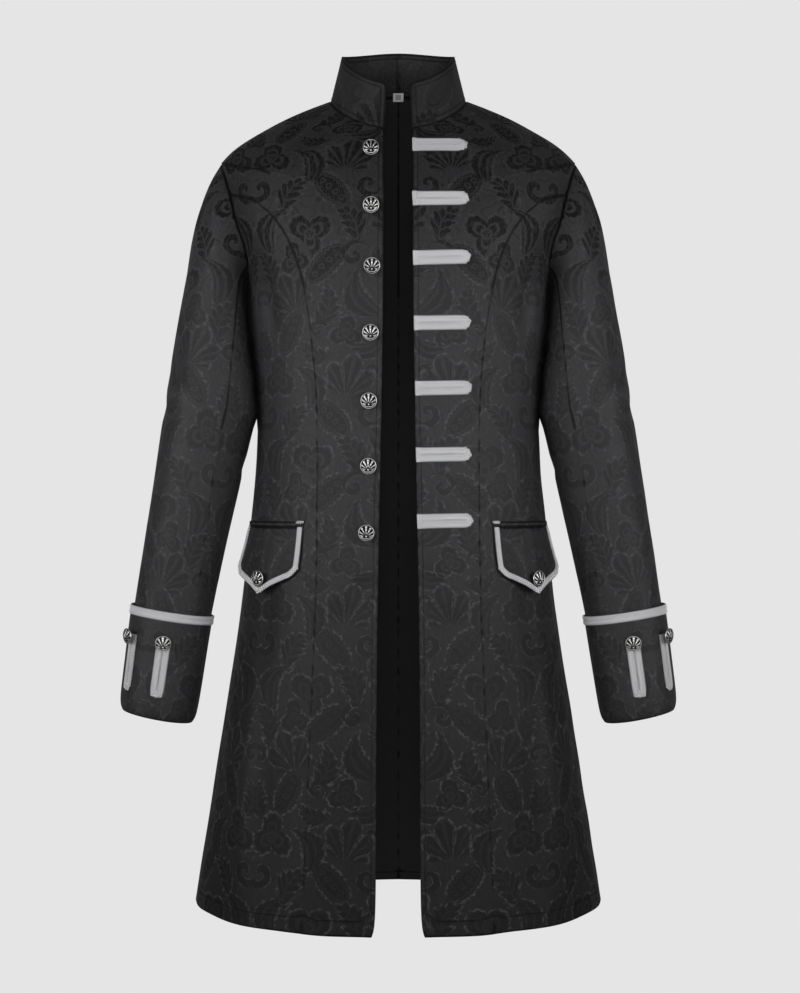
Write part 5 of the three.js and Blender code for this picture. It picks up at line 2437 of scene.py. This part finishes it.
@dataclass
class Trim:
    """Braid, buttons and topstitching on the finished cloth."""

    finishes: Finishes
    cloth: dict[str, Piece]
    slide: Callable[[Array], Array]
    front_tabs: int = 7
    edge_inset: float = 6.5 * MM
    hem_rise: float = 17 * MM
    collar_inset: float = 5.5 * MM

    FIRST_TAB = (2.2, -0.02)
    BAND_STEP = 4
    EDGE_REACH = 0.034
    ROW_STEP = 4 * MM
    HEM_BAND = 0.012
    TURN_MARGIN = 0.004
    HEM_TURN = 0.018
    COLLAR_TURN = 0.04
    COLLAR_RADIUS = 0.07
    COLLAR_BINS = 24

    def build(self) -> None:
        """Builds all the trim."""
        front = Seat(self.cloth["front_L"])
        for number in range(1, self.front_tabs + 1):
            lift, tilt = self.FIRST_TAB if number == 1 else (0.0, 0.0)
            HairpinTab(f"front_tab_{number}", front, self.finishes, lift=lift, tilt=tilt).build()
        button = ShankButton(self.finishes)
        for number in range(1, self.front_tabs + 1):
            button.build(f"front_button_{number}")
        for hand in Hand:
            s = hand.suffix
            cuff = Seat(self.cloth[f"cuff_{s}"])
            for place in ("front", "side"):
                name = f"cuff_tab_{place}_{s}"
                HairpinTab(name, cuff, self.finishes, pointed=False, folded_start=False).build()
                button.build(f"cuff_button_{place}_{s}")
            button.build(f"flap_button_{s}", self.slide)
            self.cuff_band(hand, cuff)
        self.stitches()

    def cuff_band(self, hand: Hand, cuff: Seat) -> Piece:
        """Lays the braid round the top of a cuff.

        Args:
            hand: The wearer's left or right.
            cuff: The finished cuff.

        Returns:
            The braid.
        """
        name = f"cuff_braid_{hand.suffix}"
        wrap = SleeveWrap(hand)
        points = corner_points(name)
        along = -float(np.mean(wrap.place(points).up))
        line = cuff.trace(wrap.ray(along, float(turn)) for turn in np.arange(0, 360, self.BAND_STEP))
        shell = bmesh.new()
        BraidStrip(half_width=5.3 * MM, thick=1.9 * MM, scallop=0.08).lay(shell, line, closed=True)
        piece = add_object(f"braid_{name}", shell, self.finishes.braid, Slot.BRAID)
        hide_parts(name)
        return piece

    def stitches(self) -> None:
        """Sews the fronts' edges, the hem and the collar."""
        sewing = Stitching(self.finishes)
        for hand in Hand:
            front = f"front_{hand.suffix}"
            sewing.finish(f"topstitch_{front}", [self.front_line(hand)])
        sewing.finish("topstitch_hem", self.hem_lines())
        sewing.finish("topstitch_collar", self.collar_lines())

    def front_line(self, hand: Hand) -> list[Place]:
        """The row of stitches beside a front edge.

        Args:
            hand: The wearer's left or right.

        Returns:
            Places on the cloth.
        """
        name = f"front_{hand.suffix}"
        points = corner_points(name)
        near = points[np.abs(points[:, 0]) < self.EDGE_REACH]
        order = np.argsort(near[:, 2])
        heights, edges = near[order, 2], np.abs(near[order, 0])
        seat = Seat(self.cloth[name])
        rays = []
        for height in np.arange(heights[0] + self.hem_rise, heights[-1] - self.ROW_STEP, self.ROW_STEP):
            x = float(np.interp(height, heights, edges)) + self.edge_inset
            rays.append((Vector((hand.value * x, -0.5, height)), Vector((0, 1, 0))))
        return seat.trace(rays)

    def hem_lines(self) -> list[list[Place]]:
        """The rows of stitches above the hem, one on each panel.

        Returns:
            Places on the cloth.
        """
        lines = []
        for hand in Hand:
            for part in ("front", "side_front", "side_back", "back"):
                name = f"{part}_{hand.suffix}"
                points = corner_points(name)
                low = points[points[:, 2] < points[:, 2].min() + self.HEM_BAND]
                turns = np.arctan2(low[:, 0] * hand.value, -low[:, 1])
                order = np.argsort(turns)
                seat = Seat(self.cloth[name])
                rays = []
                ends = (turns.min() + self.TURN_MARGIN, turns.max() - self.TURN_MARGIN)
                for turn in np.arange(*ends, self.HEM_TURN):
                    height = float(np.interp(turn, turns[order], low[order, 2])) + self.hem_rise
                    rays.append(inward_ray(hand.value * turn, height))
                lines.append(seat.trace(rays))
        return lines

    def collar_lines(self) -> list[list[Place]]:
        """The rows of stitches along the collar's top, foot and ends.

        Returns:
            Places on the cloth.
        """
        points = corner_points("collar")
        turns = np.arctan2(points[:, 0], -points[:, 1]) % (2 * math.pi)
        bins = np.linspace(turns.min(), turns.max(), self.COLLAR_BINS)
        middles = (bins[1:] + bins[:-1]) / 2
        groups = [points[(turns >= a) & (turns <= b), 2] for a, b in zip(bins, bins[1:])]
        tops = np.array([group.max() for group in groups])
        feet = np.array([group.min() for group in groups])
        seat = Seat(self.cloth["collar"])
        inset = self.collar_inset / self.COLLAR_RADIUS
        lines = []
        for levels, shift in ((tops, -self.collar_inset), (feet, self.collar_inset)):
            rays = []
            for turn in np.arange(turns.min() + inset, turns.max() - inset, self.COLLAR_TURN):
                rays.append(inward_ray(turn, float(np.interp(turn, middles, levels)) + shift))
            lines.append(seat.trace(rays))
        for turn in (turns.min() + inset, turns.max() - inset):
            low = float(np.interp(turn, middles, feet)) + self.collar_inset
            high = float(np.interp(turn, middles, tops)) - self.collar_inset
            lines.append(seat.trace(inward_ray(turn, z) for z in np.arange(low, high, 3 * MM)))
        return lines


@dataclass
class Studio:
    """A plain pale floor and surround, soft lights and the camera."""

    pale: float = 0.783
    floor: float = -2.4
    width: float = 16.0
    camera_x: float = 0.0021
    camera_distance: float = 2.4
    camera_height: float = -0.4817
    focal: float = 71.35
    sensor: float = 36.0
    ambient: float = 0.14
    spread: float = math.radians(70)
    aim_height: float = -0.28

    def build(self) -> None:
        """Builds the set."""
        self.lay_floor()
        self.light_up()
        self.place_camera()

    def lay_floor(self) -> None:
        """A wide pale floor, of one tone with the surround, well below the hem."""
        shell = bmesh.new()
        bmesh.ops.create_grid(shell, x_segments=1, y_segments=1, size=self.width)
        bmesh.ops.translate(shell, vec=(0, 0, self.floor), verts=shell.verts)
        mesh = bpy.data.meshes.new("floor")
        shell.to_mesh(mesh)
        shell.free()
        material, _, shader = new_material("pale floor")
        shader.inputs["Base Color"].default_value = (0.0, 0.0, 0.0, 1.0)
        shader.inputs["Roughness"].default_value = 1.0
        shader.inputs["Specular IOR Level"].default_value = 0.0
        shader.inputs["Emission Color"].default_value = (1.0, 1.0, 1.0, 1.0)
        shader.inputs["Emission Strength"].default_value = self.pale
        mesh.materials.append(material)
        floor = bpy.data.objects.new("floor", mesh)
        floor.visible_diffuse = floor.visible_glossy = False
        bpy.context.scene.collection.objects.link(floor)

    def light_up(self) -> None:
        """Soft lights, and a surround that looks pale and lights the coat dimly."""
        world = bpy.data.worlds.new("studio")
        bpy.context.scene.world = world
        world.use_nodes = True
        graph = Graph(world.node_tree)
        surround = world.node_tree.nodes["Background"]
        surround.inputs["Color"].default_value = (1.0, 1.0, 1.0, 1.0)
        seen = graph.node("ShaderNodeLightPath").outputs["Is Camera Ray"]
        strength = graph.times_plus(seen, self.pale - self.ambient, self.ambient)
        graph.feed(surround.inputs["Strength"], strength)
        self.lamp("key", (-1.35, -1.15, -0.2), 1.1, 3.3)
        self.lamp("fill", (1.35, -1.15, -0.22), 1.1, 3.0)
        self.lamp("front", (0.0, -2.9, -0.3), 1.3, 3.0)
        for name, side in (("back left", -1.0), ("back right", 1.0)):
            self.lamp(name, (side * 1.2, 1.7, -0.1), 1.1, 3.6).visible_glossy = False

    def lamp(self, name: str, place: tuple[float, float, float], size: float, power: float) -> Piece:
        """Adds a soft light that faces the coat.

        Args:
            name: The light's name.
            place: Where it stands.
            size: Its width.
            power: Its power in watts.

        Returns:
            The light.
        """
        data = bpy.data.lights.new(name, "AREA")
        data.shape = "DISK"
        data.size = size
        data.energy = power
        data.spread = self.spread
        lamp = bpy.data.objects.new(name, data)
        lamp.location = place
        target = Vector((0.0, 0.0, self.aim_height))
        lamp.rotation_euler = (target - Vector(place)).to_track_quat("-Z", "Y").to_euler()
        bpy.context.scene.collection.objects.link(lamp)
        return lamp

    def place_camera(self) -> None:
        """The camera stands level in front of the coat, as the photograph's did."""
        data = bpy.data.cameras.new("camera")
        data.sensor_width = self.sensor
        data.lens = self.focal
        data.clip_end = 50.0
        camera = bpy.data.objects.new("camera", data)
        camera.location = (self.camera_x, -self.camera_distance, self.camera_height)
        camera.rotation_euler = (math.pi / 2, 0.0, 0.0)
        bpy.context.scene.collection.objects.link(camera)
        bpy.context.scene.camera = camera
        bpy.context.scene.view_settings.view_transform = "Standard"


def main() -> None:
    """Builds the coat piece by piece."""
    logging.basicConfig(level=logging.INFO, format="%(name)s %(message)s")
    Studio().build()
    finishes = Finishes()
    wrap = BodyWrap()
    cloth = Body(finishes, wrap).build()
    cloth.update(Sleeves(finishes).build())
    pockets = Pockets(finishes, wrap)
    cloth.update(pockets.build())
    cloth.update(Neck(finishes).build())
    Trim(finishes, cloth, pockets.draw_back).build()


if __name__ == "__main__":
    main()
